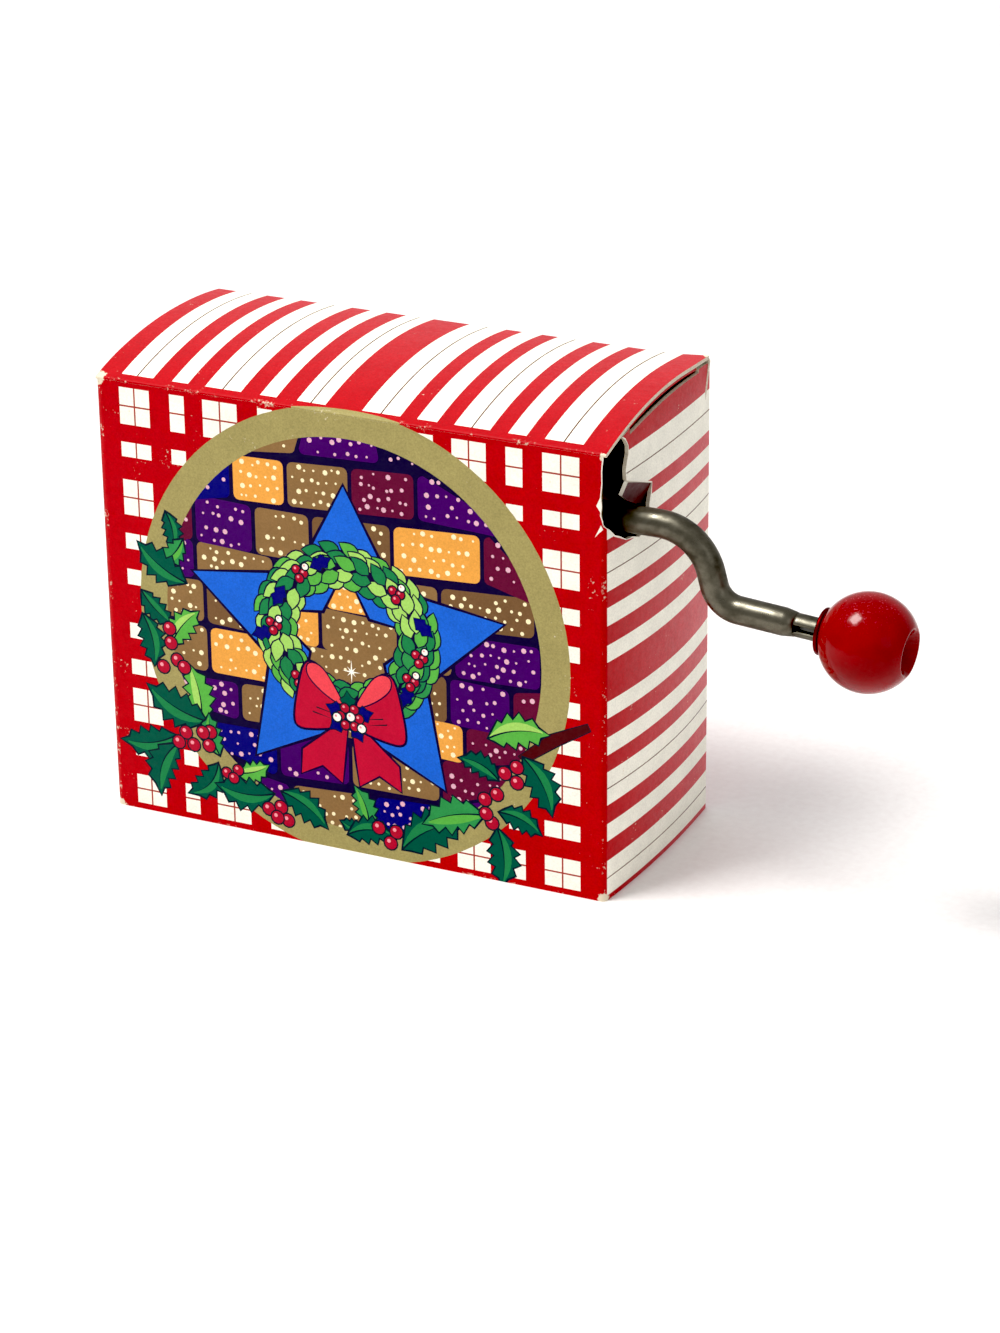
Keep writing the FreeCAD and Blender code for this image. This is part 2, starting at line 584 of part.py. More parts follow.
def comb():
    """The steel comb on its pedestal: a heel with a slanted root line and one tooth per note."""
    body = new_body("steel_comb")
    low, high = "comb_mid - comb_run / 2 - tooth_pitch", "comb_mid + comb_run / 2 + tooth_pitch"
    heel = [("heel_x", low), ("root_x - slant_low", low), ("root_x + slant_high", high),
            ("heel_x", high)]
    pad(body, outline(body, "XZ", heel, "-comb_rear"), "comb_thickness")
    base = "(comb_mid - comb_run / 2)"
    below, above = base + " - tooth_width / 2", base + " + tooth_width / 2"
    tooth = [("root_x - tooth_root", below), ("tip_x - tip_taper", below),
             ("tip_x", base + " - tip_width / 2"), ("tip_x", base + " + tip_width / 2"),
             ("tip_x - tip_taper", above), ("root_x - tooth_root", above)]
    first = pad(body, outline(body, "XZ", tooth, "-cylinder_y"), "tooth_thickness", "Symmetric")
    repeat_along(body, first, "Z", "tooth_count", "comb_run")
    holes = [("screw_x", "comb_mid + screw_spacing / 2 * %d" % side, "screw_shank + screw_play")
             for side in (-1, 1)]
    cut_through(body, rings(body, "XZ", holes))

    foot = new_body("comb_pedestal")
    pad(foot, outline(foot, "XZ", block("heel_x + foot_inset", "root_x - tooth_root", low, high), "-plate_front"),
        "plate_front - comb_rear")
    cut_through(foot, rings(foot, "XZ", holes))

    screws = new_body("comb_screws")
    head, under = "comb_front - head_height", "comb_front"
    half_screw = [("screw_x", head), ("screw_x + screw_head", head), ("screw_x + screw_head", under),
                  ("screw_x + screw_shank", under), ("screw_x + screw_shank", "pad_front"),
                  ("screw_x", "pad_front")]
    sketch = outline(screws, "XY", half_screw, "comb_mid - screw_spacing / 2")
    add_line(sketch, half_screw[0], half_screw[-1], construction=True)
    first = revolve(screws, sketch, (sketch, ["Axis0"]))
    middle = "comb_mid - screw_spacing / 2"
    slit = block("screw_x - 2 * screw_head", "screw_x + 2 * screw_head",
                 middle + " - driver_width / 2", middle + " + driver_width / 2")
    slot = feature(screws, "Pocket", outline(screws, "XZ", slit, "-(%s) - driver_depth" % head))
    slot.Reversed = True
    bind(slot, Length="overcut")
    row = repeat_along(screws, first, "Z", "2", "screw_spacing")
    row.Originals = [first, slot]

    weights = new_body("lead_weights")
    lump = block("tip_x - weight_far", "tip_x - weight_near",
                 base + " - weight_width / 2", base + " + weight_width / 2")
    lowest = "-(cylinder_y + tooth_thickness / 2 + weight_drop)"
    first = pad(weights, outline(weights, "XZ", lump, lowest), "weight_drop")
    repeat_along(weights, first, "Z", "weight_count", "weight_pitch * (weight_count - 1)")


# ---- movement: what turns --------------------------------------------------------------------------

def cylinder():
    """The pinned cylinder: a brass tube between two caps on a steel arbor."""
    tube = new_body("cylinder_tube")
    pad(tube, rings(tube, "XY", [("cylinder_x", "cylinder_y", "cylinder_radius"),
                                 ("cylinder_x", "cylinder_y", "cylinder_radius - tube_wall")],
                    "cylinder_base"), "cylinder_length")
    caps = (("upper_end_cap", "cylinder_top - cap_thickness"), ("lower_end_cap", "cylinder_base"))
    for label, base in caps:
        cap = new_body(label)
        pad(cap, rings(cap, "XY", [("cylinder_x", "cylinder_y", "cylinder_radius - tube_wall"),
                                   ("cylinder_x", "cylinder_y", "arbor_radius")], base), "cap_thickness")
    arbor = new_body("cylinder_arbor")
    pad(arbor, rings(arbor, "XY", [("cylinder_x", "cylinder_y", "arbor_radius")], "arbor_base"),
        "arbor_top - arbor_base")
    cut_groove(arbor, "wheel_top + clip_gap")
    clip("arbor_clip", "XY", ("cylinder_x", "cylinder_y"), "wheel_top + clip_gap",
         "arbor_radius - clip_depth")


def cut_groove(arbor, base):
    """A ring groove for the arbor's clip."""
    sketch = rings(arbor, "XY", [("cylinder_x", "cylinder_y", "2 * arbor_radius"),
                                 ("cylinder_x", "cylinder_y", "arbor_radius - clip_depth")], base)
    doc.recompute()
    before = arbor.Shape.Volume
    groove = feature(arbor, "Pocket", sketch, Reversed=True)
    bind(groove, Length="clip_thickness")
    doc.recompute()
    if arbor.Shape.Volume >= before - 1e-6:
        raise RuntimeError("the clip groove takes nothing away")


def clip(label, plane, centre, base, bore):
    """An open retaining clip, which snaps into a groove."""
    body = new_body(label)
    outside = bore + " + clip_rim"
    pad(body, rings(body, plane, [(centre[0], centre[1], outside), (centre[0], centre[1], bore)], base),
        "clip_thickness")
    mouth = block(centre[0] + " - clip_mouth / 2", centre[0] + " + clip_mouth / 2", centre[1],
                  "%s + %s + overcut" % (centre[1], outside))
    cut_through(body, outline(body, plane, mouth))


def cylinder_pins():
    """Four pins on each track, in the order of a scale that runs up, down and up again."""
    rows, turns = int(value("tooth_count")), 4
    axis = FreeCAD.Vector(value("cylinder_x"), value("cylinder_y"), 0)
    foot, length = value("cylinder_radius - pin_root"), value("pin_height + pin_root")
    low, pitch = value("comb_mid - comb_run / 2"), value("tooth_pitch")
    pins = []
    for beat in range(rows * turns):
        track = beat % (2 * rows)
        track = track if track < rows else 2 * rows - 1 - track
        # half a step of lead keeps the pins off the comb's own line while the crank hangs down
        angle = 2 * math.pi * (beat + 0.5) / (rows * turns)
        way = FreeCAD.Vector(math.cos(angle), math.sin(angle), 0)
        start = axis + way * foot + FreeCAD.Vector(0, 0, low + pitch * track)
        pins.append(Part.makeCylinder(value("pin_diameter / 2"), length, start, way))
    item = doc.addObject("Part::Feature", "cylinder_pins")
    item.Label = "cylinder_pins"
    item.Shape = Part.makeCompound(pins)


def worm_wheel():
    """Straight teeth with play on both sides; one tooth points at the worm."""
    body = new_body("worm_wheel")
    root = "(wheel_pitch_radius - tooth_dedendum)"
    pad(body, rings(body, "XY", [("0", "0", root), ("0", "0", "arbor_radius")],
                    "wheel_base"), "wheel_thickness")
    tooth = [("flank_foot", "-%s + tooth_dedendum / 2" % root), ("flank_foot", "-" + root),
             ("flank_crest", "-(wheel_pitch_radius + tooth_addendum * wheel_addendum)")]
    mirrored = [("-(%s)" % x, y) for x, y in reversed(tooth)]
    one = pad(body, outline(body, "XY", tooth + mirrored, "wheel_base"), "wheel_thickness")
    pattern = body.newObject("PartDesign::PolarPattern", "worm_wheel_teeth")
    pattern.Originals = [one]
    pattern.Axis = (origin_item(body, "Z_Axis"), [""])
    pattern.Angle = 360.0
    bind(pattern, Occurrences="wheel_teeth")
    body.Tip = pattern
    pad(body, rings(body, "XY", [("0", "0", "arbor_radius + hub_wall"), ("0", "0", "arbor_radius")],
                    "wheel_base - wheel_hub"), "wheel_hub + wheel_thickness / 2")
    bind(body, Placement__Base__x="cylinder_x", Placement__Base__y="cylinder_y")


def worm():
    """A right-handed single thread on a sleeve, drawn along Z and laid on the shaft."""
    body = new_body("worm")
    pad(body, rings(body, "XY", [("0", "0", "worm_root")]), "worm_length")
    turns = 4                                      # an even number keeps the thread in mesh at rest
    start = "(worm_length / 2 - axial_pitch * %d / 2)" % turns
    foot, crest = "worm_root - thread_gap", "worm_tip - thread_gap"
    thread = [(foot, start + " - flank_foot"), (crest, start + " - flank_crest"),
              (crest, start + " + flank_crest"), (foot, start + " + flank_foot")]
    sketch = outline(body, "XZ", thread)
    doc.recompute()
    helix = feature(body, "AdditiveHelix", sketch, ReferenceAxis=(origin_item(body, "Z_Axis"), [""]))
    helix.Mode = 0
    helix.LeftHanded = False
    bind(helix, Pitch="axial_pitch", Height="axial_pitch * %d" % turns)
    doc.recompute()
    cut_through(body, rings(body, "XY", [("0", "0", "wire_radius")]))
    # Z of the drawing becomes X, and the thread starts at the front, away from the wheel
    body.Placement = FreeCAD.Placement(FreeCAD.Vector(), FreeCAD.Rotation(
        FreeCAD.Vector(0, -1, 0), FreeCAD.Vector(0, 0, -1), FreeCAD.Vector(1, 0, 0), "XZY"))
    bind(body, Placement__Base__x="cylinder_x - worm_length / 2", Placement__Base__y="shaft_y",
         Placement__Base__z="shaft_height")


def crank():
    """The bent wire with its split end, and the collar and clip that hold its shaft."""
    body = new_body("crank_wire")
    body.AllowCompound = False
    ring = rings(body, "YZ", [("0", "shaft_height", "wire_radius")], "shaft_end_x")
    path = new_sketch(body, "XZ")
    shoulder = on_grip("grip_length", "0")
    spots = [("shaft_end_x", "shaft_height"), ("arm_x", "shaft_height"), ("grip_x", "grip_z"), shoulder]
    bend_share = 0.18                              # of a run, kept free for its bend
    corners = [FreeCAD.Vector(value(x), value(z), 0) for x, z in spots]
    runs = []
    for start, end in zip(corners, corners[1:]):
        ends = [start if start is corners[0] else start + (end - start) * bend_share,
                end if end is corners[-1] else end - (end - start) * bend_share]
        runs.append(path.addGeometry(Part.LineSegment(*ends), False))
    pin_point(path, runs[0], 1, spots[0])
    pin_point(path, runs[-1], 2, spots[-1])
    for number in (1, 2):
        corner = path.addGeometry(Part.Point(corners[number]), True)
        pin_point(path, corner, 1, spots[number])
        for run in runs[number - 1:number + 1]:
            path.addConstraint(Sketcher.Constraint("PointOnObject", corner, 1, run))
    path.solve()
    for number, radius in enumerate(("arm_bend", "grip_bend")):
        before = path.GeometryCount
        corner = corners[number + 1]
        picks = [corner + (other - corner).normalize() * value("grip_bend")
                 for other in (corners[number], corners[number + 2])]
        path.fillet(runs[number], runs[number + 1], *picks, value(radius), True, False)
        arc = path.GeometryCount - 1
        if path.GeometryCount == before:
            raise RuntimeError("the crank's bend %d wasn't made" % number)
        index = path.addConstraint(Sketcher.Constraint("Radius", arc, value(radius)))
        path.setExpression("Constraints[%d]" % index, expand(radius))
    doc.recompute()
    pipe = feature(body, "AdditivePipe", ring)
    pipe.Spine = (path, [])
    spigot = outline(body, "XZ", [
        on_grip("grip_length - barb_height", "0"), on_grip("grip_length - barb_height", "spigot_radius"),
        on_grip("barb_at - barb_height", "spigot_radius"),
        on_grip("barb_at", "spigot_radius + barb_height"),
        on_grip("spigot_end", "spigot_radius"), on_grip("spigot_end", "0")])
    add_line(spigot, on_grip("0", "0"), on_grip("grip_length", "0"), construction=True)
    revolve(body, spigot, (spigot, ["Axis0"]))
    split = [on_grip(along, side) for along, side in
             (("split_start", "-split_width / 2"), ("spigot_end + overcut", "-split_width / 2"),
              ("spigot_end + overcut", "split_width / 2"), ("split_start", "split_width / 2"))]
    cut_through(body, outline(body, "XZ", split))
    bind(body, Placement__Base__y="shaft_y")

    collar_end = "outer_bracket_x - end_play"
    turned_part("thrust_collar", sleeve("wire_radius", "wire_radius + collar_wall",
                                        collar_end + " - collar_length", collar_end), on_shaft)
    clip("crank_clip", "YZ", ("shaft_y", "shaft_height"),
         "inner_bracket_x - end_play - clip_thickness", "wire_radius")


def knob():
    """The ball that the fingers hold, on a flanged eyelet that turns freely on the wire's split end."""
    inner, outer = "(knob_inner_flat * knob_radius)", "(knob_outer_flat * knob_radius)"
    start, end = "ball_at - " + inner, "ball_at + " + outer
    turned_part("knob_ball", [
        (start, "sqrt(knob_radius ^ 2 - %s ^ 2)" % inner, "knob_radius", -1),
        (end, "sqrt(knob_radius ^ 2 - %s ^ 2)" % outer),
        (end, "sink_radius"), (end + " - sink_depth", "eyelet_radius"), (start, "eyelet_radius")],
        grip_placement)
    turned_part("knob_eyelet", [
        ("flange_at", "eyelet_bore"), ("flange_at", "eyelet_flange"), (start, "eyelet_flange"),
        (start, "eyelet_radius"), (end + " - sink_depth", "eyelet_radius"),
        (end + " - sink_depth", "eyelet_bore")], grip_placement)


# ---- build, check, write ---------------------------------------------------------------------------

def check_all():
    doc.recompute()
    faults = []
    for item in doc.Objects:
        if "Invalid" in item.State or "Error" in item.State:
            faults.append("%s is %s" % (item.Name, item.State))
    for item in sub_parts():
        shape = item.Shape
        if shape.isNull() or not shape.isValid() or not shape.Solids:
            faults.append("%s has no valid solid" % item.Label)
    if faults:
        raise RuntimeError("; ".join(faults))


def sub_parts():
    kinds = ("PartDesign::Body", "Part::Box", "Part::Feature")
    return [item for item in doc.Objects if item.TypeId in kinds]


def write_all():
    os.makedirs("parts", exist_ok=True)
    for item in sub_parts():
        item.Shape.exportStep("parts/%s.step" % item.Label)
        print("%-26s %2d solid(s) %9.2f mm3" % (item.Label, len(item.Shape.Solids), item.Shape.Volume))


for build in (carton_sleeve, bottom_closure, lid, bed_plate, brackets, comb, cylinder, cylinder_pins,
              worm_wheel, worm, crank, knob):
    build()
check_all()
write_all()
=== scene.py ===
import json
import math
import bmesh
import bpy
import numpy as np
from mathutils import Matrix, Vector
from mathutils.geometry import delaunay_2d_cdt


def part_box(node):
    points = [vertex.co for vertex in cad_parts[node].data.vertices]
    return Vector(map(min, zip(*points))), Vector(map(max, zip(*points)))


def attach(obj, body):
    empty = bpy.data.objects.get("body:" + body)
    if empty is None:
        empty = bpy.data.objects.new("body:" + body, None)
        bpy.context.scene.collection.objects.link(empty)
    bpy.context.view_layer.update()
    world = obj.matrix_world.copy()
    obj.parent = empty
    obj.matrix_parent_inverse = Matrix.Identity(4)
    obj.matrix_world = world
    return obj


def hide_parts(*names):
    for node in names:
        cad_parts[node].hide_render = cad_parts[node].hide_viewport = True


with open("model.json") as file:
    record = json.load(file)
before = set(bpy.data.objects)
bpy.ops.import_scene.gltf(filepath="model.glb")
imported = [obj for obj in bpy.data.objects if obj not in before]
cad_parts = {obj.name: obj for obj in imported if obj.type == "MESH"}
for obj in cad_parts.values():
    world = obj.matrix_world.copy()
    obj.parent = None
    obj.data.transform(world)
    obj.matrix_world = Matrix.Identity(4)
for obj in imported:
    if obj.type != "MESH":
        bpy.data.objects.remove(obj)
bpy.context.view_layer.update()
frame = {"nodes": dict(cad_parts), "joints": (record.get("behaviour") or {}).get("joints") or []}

bl_info = {
    "name": "Hand-crank music box",
    "version": (1, 0, 0),
    "blender": (4, 5, 0),
    "location": "3D View > Sidebar > Music box",
    "description": "Builds the printed carton, the crank, the knob and the movement's finishes",
    "category": "Object",
}

MM = 0.001


# ---- places that come from the frame, in millimetres ------------------------------------------------

def corners(node):
    """Lowest and highest corner of a CAD node in millimetres."""
    low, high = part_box(node)
    return np.array(low) / MM, np.array(high) / MM


def joint(name):
    """Position and axis of a joint, the position in millimetres."""
    found = next(item for item in frame["joints"] if item["name"] == name)
    return np.array(found["pos_m"]) / MM, np.array(found["axis"], float)


FRONT_LOW, FRONT_HIGH = corners("front_panel")
BACK_LOW, BACK_HIGH = corners("back_panel")
LID_LOW, LID_HIGH = corners("lid_panel")
WIDTH = FRONT_HIGH[0] - FRONT_LOW[0]
DEPTH = BACK_HIGH[1] - FRONT_LOW[1]
BOARD = FRONT_HIGH[1] - FRONT_LOW[1]
BACK_TOP = BACK_HIGH[2]
GAP = BACK_LOW[1] - LID_HIGH[1]          # air round the lid
SLIT = 0.06                              # air between two boards that lie on each other
LID_REAR = BACK_TOP + GAP                # the lid's upper face at its back fold
FLAP_LOW, FLAP_HIGH = corners("top_dust_flap_right")
FLAP_HINGE, FLAP_WAY = joint("right_flap_hinge")
FLAP_TURN = math.radians(37.5)           # how far a dust flap turns
BULGE = corners("right_panel")[1][0] - WIDTH / 2
HINGE = joint("lid_hinge")[0]
SHAFT = joint("crank_turn")[0]
GRIP, GRIP_WAY = joint("knob_spin")
KNOB_LOW, KNOB_HIGH = corners("knob_ball")
SHOULDER = 7.2                           # along the grip, from its bend: the full wire ends here,
PRONGS = (7.0, 16.4)                     # its split end runs between these
FLANGE = 9.5                             # and the eyelet's rolled rim starts here


# ---- settings ---------------------------------------------------------------------------------------

def linear(code):
    """An sRGB hex colour as linear red, green and blue."""
    parts = [int(code[i:i + 2], 16) / 255 for i in (0, 2, 4)]
    return tuple(c / 12.92 if c <= 0.04045 else ((c + 0.055) / 1.055) ** 2.4 for c in parts)


def size(name, millimetres, note):
    """A length setting with its default in millimetres."""
    return bpy.props.FloatProperty(name=name, description=note, default=millimetres * MM, unit="LENGTH",
                                   precision=5)


def tint(name, code, note):
    """A colour setting with its default as an sRGB hex value."""
    return bpy.props.FloatVectorProperty(name=name, description=note, default=linear(code), size=3,
                                         subtype="COLOR", min=0.0, max=1.0)


class MusicBoxCarton(bpy.types.PropertyGroup):
    corner: size("Corner", 0.46, "Radius of the folded upright corners")
    crown: size("Lid crown", 1.3, "Rise of the lid above the line between its folds")
    ring: size("Ring", 21.7, "Outer radius of the printed ring")
    ring_width: size("Ring width", 2.8, "Width of the printed ring")
    red: tint("Red", "AE000E", "Red of the stripes")
    # paler red painted towards the back: a painted sheen of the satin print
    painted_sheen: tint("Painted sheen red", "CB5A60", "Paler red painted as sheen, towards the back")
    cream: tint("White", "F1EEE0", "Unprinted coated board")
    gold: tint("Gold", "998E59", "Dull gold of the ring")
    star: tint("Star", "1F5FC8", "Blue of the star")


class MusicBoxCrank(bpy.types.PropertyGroup):
    wire: size("Wire", 2.5, "Diameter of the crank wire")
    arm_bend: size("Arm bend", 5.0, "Bend radius between shaft and arm")
    grip_bend: size("Grip bend", 2.6, "Bend radius between arm and grip")
    nickel: tint("Nickel", "726E62", "Tarnished nickel of the wire")
    knob: tint("Knob", "8E0006", "Red of the knob")


class MusicBoxStage(bpy.types.PropertyGroup):
    floor: tint("Floor", "F2F0EF", "White paper under the box")


# ---- materials --------------------------------------------------------------------------------------

VALUE, LOW, HIGH, TO_LOW, TO_HIGH = range(5)     # inputs of a Map Range node
SHARE, FIRST, SECOND, MIXED = 0, 6, 7, 2         # inputs and output of a Mix node on colours


def node(tree, kind, links=None, out=0, **settings):
    """Adds a node, sets its properties and inputs, links other nodes' outputs, and gives one of its own."""
    item = tree.nodes.new("ShaderNode" + kind)
    for name, setting in settings.items():
        setattr(item, name, setting)
    for key, source in (links or {}).items():
        socket = item.inputs[key]
        if isinstance(source, bpy.types.NodeSocket):
            tree.links.new(source, socket)
        else:
            socket.default_value = (*source[:3], 1.0) if socket.type == "RGBA" else source
    return item.outputs[out] if item.outputs else None


def start_material(name):
    """A material with no nodes yet, its node tree, and the object's own coordinates."""
    material = bpy.data.materials.new(name)
    material.use_nodes = True
    tree = material.node_tree
    tree.nodes.clear()
    return material, tree, node(tree, "TexCoord", out="Object")


def surface(tree, height, strength, depth, look):
    """Ends a material: bumps up to depth millimetres high, and a skin with the look's colour and gloss."""
    bump = node(tree, "Bump", {"Height": height, "Strength": strength, "Distance": depth * MM})
    skin = node(tree, "BsdfPrincipled", {"Normal": bump, **look})
    node(tree, "OutputMaterial", {"Surface": skin})


def grain(tree, place, spacing, detail=2.0, stretch=(1, 1, 1), seed=0.0):
    """Noise with features about spacing millimetres apart."""
    moved = node(tree, "Mapping", {"Vector": place, "Scale": stretch,
                                   "Location": (seed, seed * 0.7, seed * 1.3)})
    return node(tree, "TexNoise", {"Vector": moved, "Scale": 1 / (spacing * MM), "Detail": detail,
                                   "Roughness": 0.6})


WEAR_START, WEAR_FULL = 0.35, 0.1        # from a fold inwards: where rubbed print starts, and is full
TOP_START, TOP_FULL = -0.25, 0.05        # the same from the lid's hinge, upwards
FLOOR_WEAR = 0.25                        # height of the scuffed foot


def edge_wear(tree, place):
    """1 on the carton's folds and cut edges, where the print rubs off, and 0 on its faces.

    A fold is near when two of the distances to the carton's outer planes are small at once."""
    x, y, z = node(tree, "SeparateXYZ", {0: place}).node.outputs
    near = []
    for way, half in ((x, WIDTH / 2), (y, DEPTH / 2)):
        away = node(tree, "Math", {0: way}, operation="ABSOLUTE")
        near.append(node(tree, "MapRange", {VALUE: away, LOW: (half - WEAR_START) * MM,
                                            HIGH: (half - WEAR_FULL) * MM}))
    near_side, near_front = near
    near_top = node(tree, "MapRange", {VALUE: z, LOW: (HINGE[2] + TOP_START) * MM,
                                       HIGH: (HINGE[2] + TOP_FULL) * MM, TO_HIGH: 0.75})
    near_floor = node(tree, "MapRange", {VALUE: z, LOW: FLOOR_WEAR * MM, HIGH: 0.0, TO_HIGH: 0.6})
    folds = node(tree, "Math", {0: near_side, 1: near_top}, operation="MAXIMUM")
    folds = node(tree, "Math", {0: folds, 1: near_front}, operation="MULTIPLY")
    return node(tree, "Math", {0: folds, 1: near_floor}, operation="MAXIMUM")


# the carton's battered corners: place and radius of each worn spot
WORN = ((-WIDTH / 2 - 0.4, -DEPTH / 2, HINGE[2] + 0.275, 1.2), (-WIDTH / 2 - 0.2, -DEPTH / 2, 0.1, 1.0),
        (WIDTH / 2, -DEPTH / 2, 0.2, 0.9), (WIDTH / 2 + 0.1, DEPTH / 2 - 0.7, BACK_TOP + 0.5, 0.7),
        (WIDTH / 2 - 0.1, -DEPTH / 2, HINGE[2] - 0.125, 0.5))


def worn_spots(tree, place):
    """1 at the carton's battered corners, falling to 0 at each spot's radius."""
    total = 0.0
    for *spot, radius in WORN:
        away = node(tree, "VectorMath", {0: place, 1: [c * MM for c in spot]}, "Value",
                    operation="DISTANCE")
        near = node(tree, "MapRange", {VALUE: away, LOW: radius * MM, HIGH: 0.0})
        total = node(tree, "Math", {0: near, 1: total}, operation="MAXIMUM")
    return total


def ink(name, colour, strength=0.1, worn=True, painted_sheen=None):
    """Offset print on clay-coated board: a satin film with fine mottle that rubs off along the folds.

    The mottle is the product of a fine and a wide noise. Given a paler red, the ink goes over to it from the
    carton's front to its back as a painted sheen, less so on the lid and just under it, where the side's top
    stays darker as painted shade under the lid's edge. Print is gone where a noise beats the folds' wear."""
    material, tree, place = start_material(name)
    mottle = node(tree, "MapRange", {VALUE: grain(tree, place, 0.16, 3.0), LOW: 0.3, HIGH: 0.7,
                                     TO_LOW: 1 - strength, TO_HIGH: 1 + strength})
    cloud = node(tree, "MapRange", {VALUE: grain(tree, place, 2.5, seed=3.0), LOW: 0.3, HIGH: 0.7,
                                    TO_LOW: 0.94, TO_HIGH: 1.04})
    shade = node(tree, "Math", {0: mottle, 1: cloud}, operation="MULTIPLY")
    # painted sheen: the red pales from the front to the back, less on the lid and just under it, where the
    # side's top keeps a painted shade under the lid's edge
    if painted_sheen:
        y, z = node(tree, "SeparateXYZ", {0: place}).node.outputs[1:]
        below = node(tree, "MapRange", {VALUE: z, LOW: (HINGE[2] - 3) * MM, HIGH: (HINGE[2] + 1) * MM,
                                        TO_LOW: 1.0, TO_HIGH: 0.3})
        share = node(tree, "MapRange", {VALUE: y, LOW: FRONT_LOW[1] * MM, HIGH: BACK_HIGH[1] * MM,
                                        TO_HIGH: below})
        colour = node(tree, "Mix", {SHARE: share, FIRST: colour, SECOND: painted_sheen}, MIXED, data_type="RGBA")
    tone = node(tree, "HueSaturation", {"Value": shade, "Color": colour})
    if worn:
        patches = grain(tree, place, 3.0, 1.0, seed=1.7)
        speckle = node(tree, "Math", {0: patches, 1: 0.6, 2: grain(tree, place, 0.3, 4.0, seed=7.0)},
                       operation="MULTIPLY_ADD")
        flakes = node(tree, "MapRange", {VALUE: speckle, LOW: 0.93, HIGH: 1.02})
        rubbed = node(tree, "Math", {0: edge_wear(tree, place), 1: flakes}, operation="MULTIPLY")
        spots = node(tree, "Math", {0: worn_spots(tree, place), 1: speckle}, operation="ADD")
        spots = node(tree, "MapRange", {VALUE: spots, LOW: 1.05, HIGH: 1.15})
        rubbed = node(tree, "Math", {0: rubbed, 1: spots}, operation="MAXIMUM")
        tone = node(tree, "Mix", {SHARE: rubbed, FIRST: tone, SECOND: linear("D9CDB4")}, MIXED,
                    data_type="RGBA")
    rough = node(tree, "MapRange", {VALUE: grain(tree, place, 0.6, seed=9.0), LOW: 0.3, HIGH: 0.7,
                                    TO_LOW: 0.4, TO_HIGH: 0.55})
    surface(tree, grain(tree, place, 0.22, 3.0, seed=5.0), 0.16, 0.03,
            {"Base Color": tone, "Roughness": rough, "Specular IOR Level": 0.22})
    return material


def raw_board():
    """Uncoated side and cut edge of recycled board: soft grey-cream with short fibres."""
    material, tree, place = start_material("greyboard")
    fibres = grain(tree, place, 0.25, 4.0, stretch=(1, 1, 3.5))
    share = node(tree, "MapRange", {VALUE: fibres, LOW: 0.35, HIGH: 0.7})
    tone = node(tree, "Mix", {SHARE: share, FIRST: linear("DDD4C2"), SECOND: linear("B6AB94")}, MIXED,
                data_type="RGBA")
    surface(tree, fibres, 0.3, 0.04, {"Base Color": tone, "Roughness": 0.85})
    return material


def metal(name, bright, dull, rough, spacing, stretch=(1, 1, 1), tarnish=0.5):
    """A worked metal surface: fine tool or rolling marks, and patches of tarnish.

    The colour is bright where clean and dull where tarnished, with a third of it taken from the marks. The
    roughness follows the marks, and tarnish adds to it."""
    material, tree, place = start_material(name)
    patches = node(tree, "MapRange", {VALUE: grain(tree, place, 2.2, 4.0, seed=2.0), LOW: 0.42, HIGH: 0.68,
                                      TO_HIGH: tarnish})
    marks = grain(tree, place, spacing, 4.0, stretch=stretch)
    dark = linear(dull)
    worked = node(tree, "Mix", {SHARE: marks, FIRST: dark, SECOND: bright}, MIXED, data_type="RGBA")
    tone = node(tree, "Mix", {SHARE: patches, FIRST: bright, SECOND: dark}, MIXED, data_type="RGBA")
    tone = node(tree, "Mix", {SHARE: 0.35, FIRST: tone, SECOND: worked}, MIXED, data_type="RGBA")
    polish = node(tree, "MapRange", {VALUE: marks, LOW: 0.3, HIGH: 0.7, TO_LOW: rough - 0.07,
                                     TO_HIGH: rough + 0.07})
    polish = node(tree, "Math", {0: patches, 1: 0.3, 2: polish}, operation="MULTIPLY_ADD")
    surface(tree, marks, 0.22, 0.03, {"Base Color": tone, "Metallic": 1.0, "Roughness": polish})
    return material


def foam():
    """Closed-cell foam tape: matt, with small round cells."""
    material, tree, place = start_material("foam_tape")
    cells = node(tree, "TexVoronoi", {"Vector": place, "Scale": 1 / (0.35 * MM)}, "Distance")
    share = node(tree, "MapRange", {VALUE: cells, HIGH: 0.8})
    tone = node(tree, "Mix", {SHARE: share, FIRST: linear("D9D5C9"), SECOND: linear("B9B4A6")}, MIXED,
                data_type="RGBA")
    surface(tree, cells, 0.5, 0.08, {"Base Color": tone, "Roughness": 0.9})
    return material


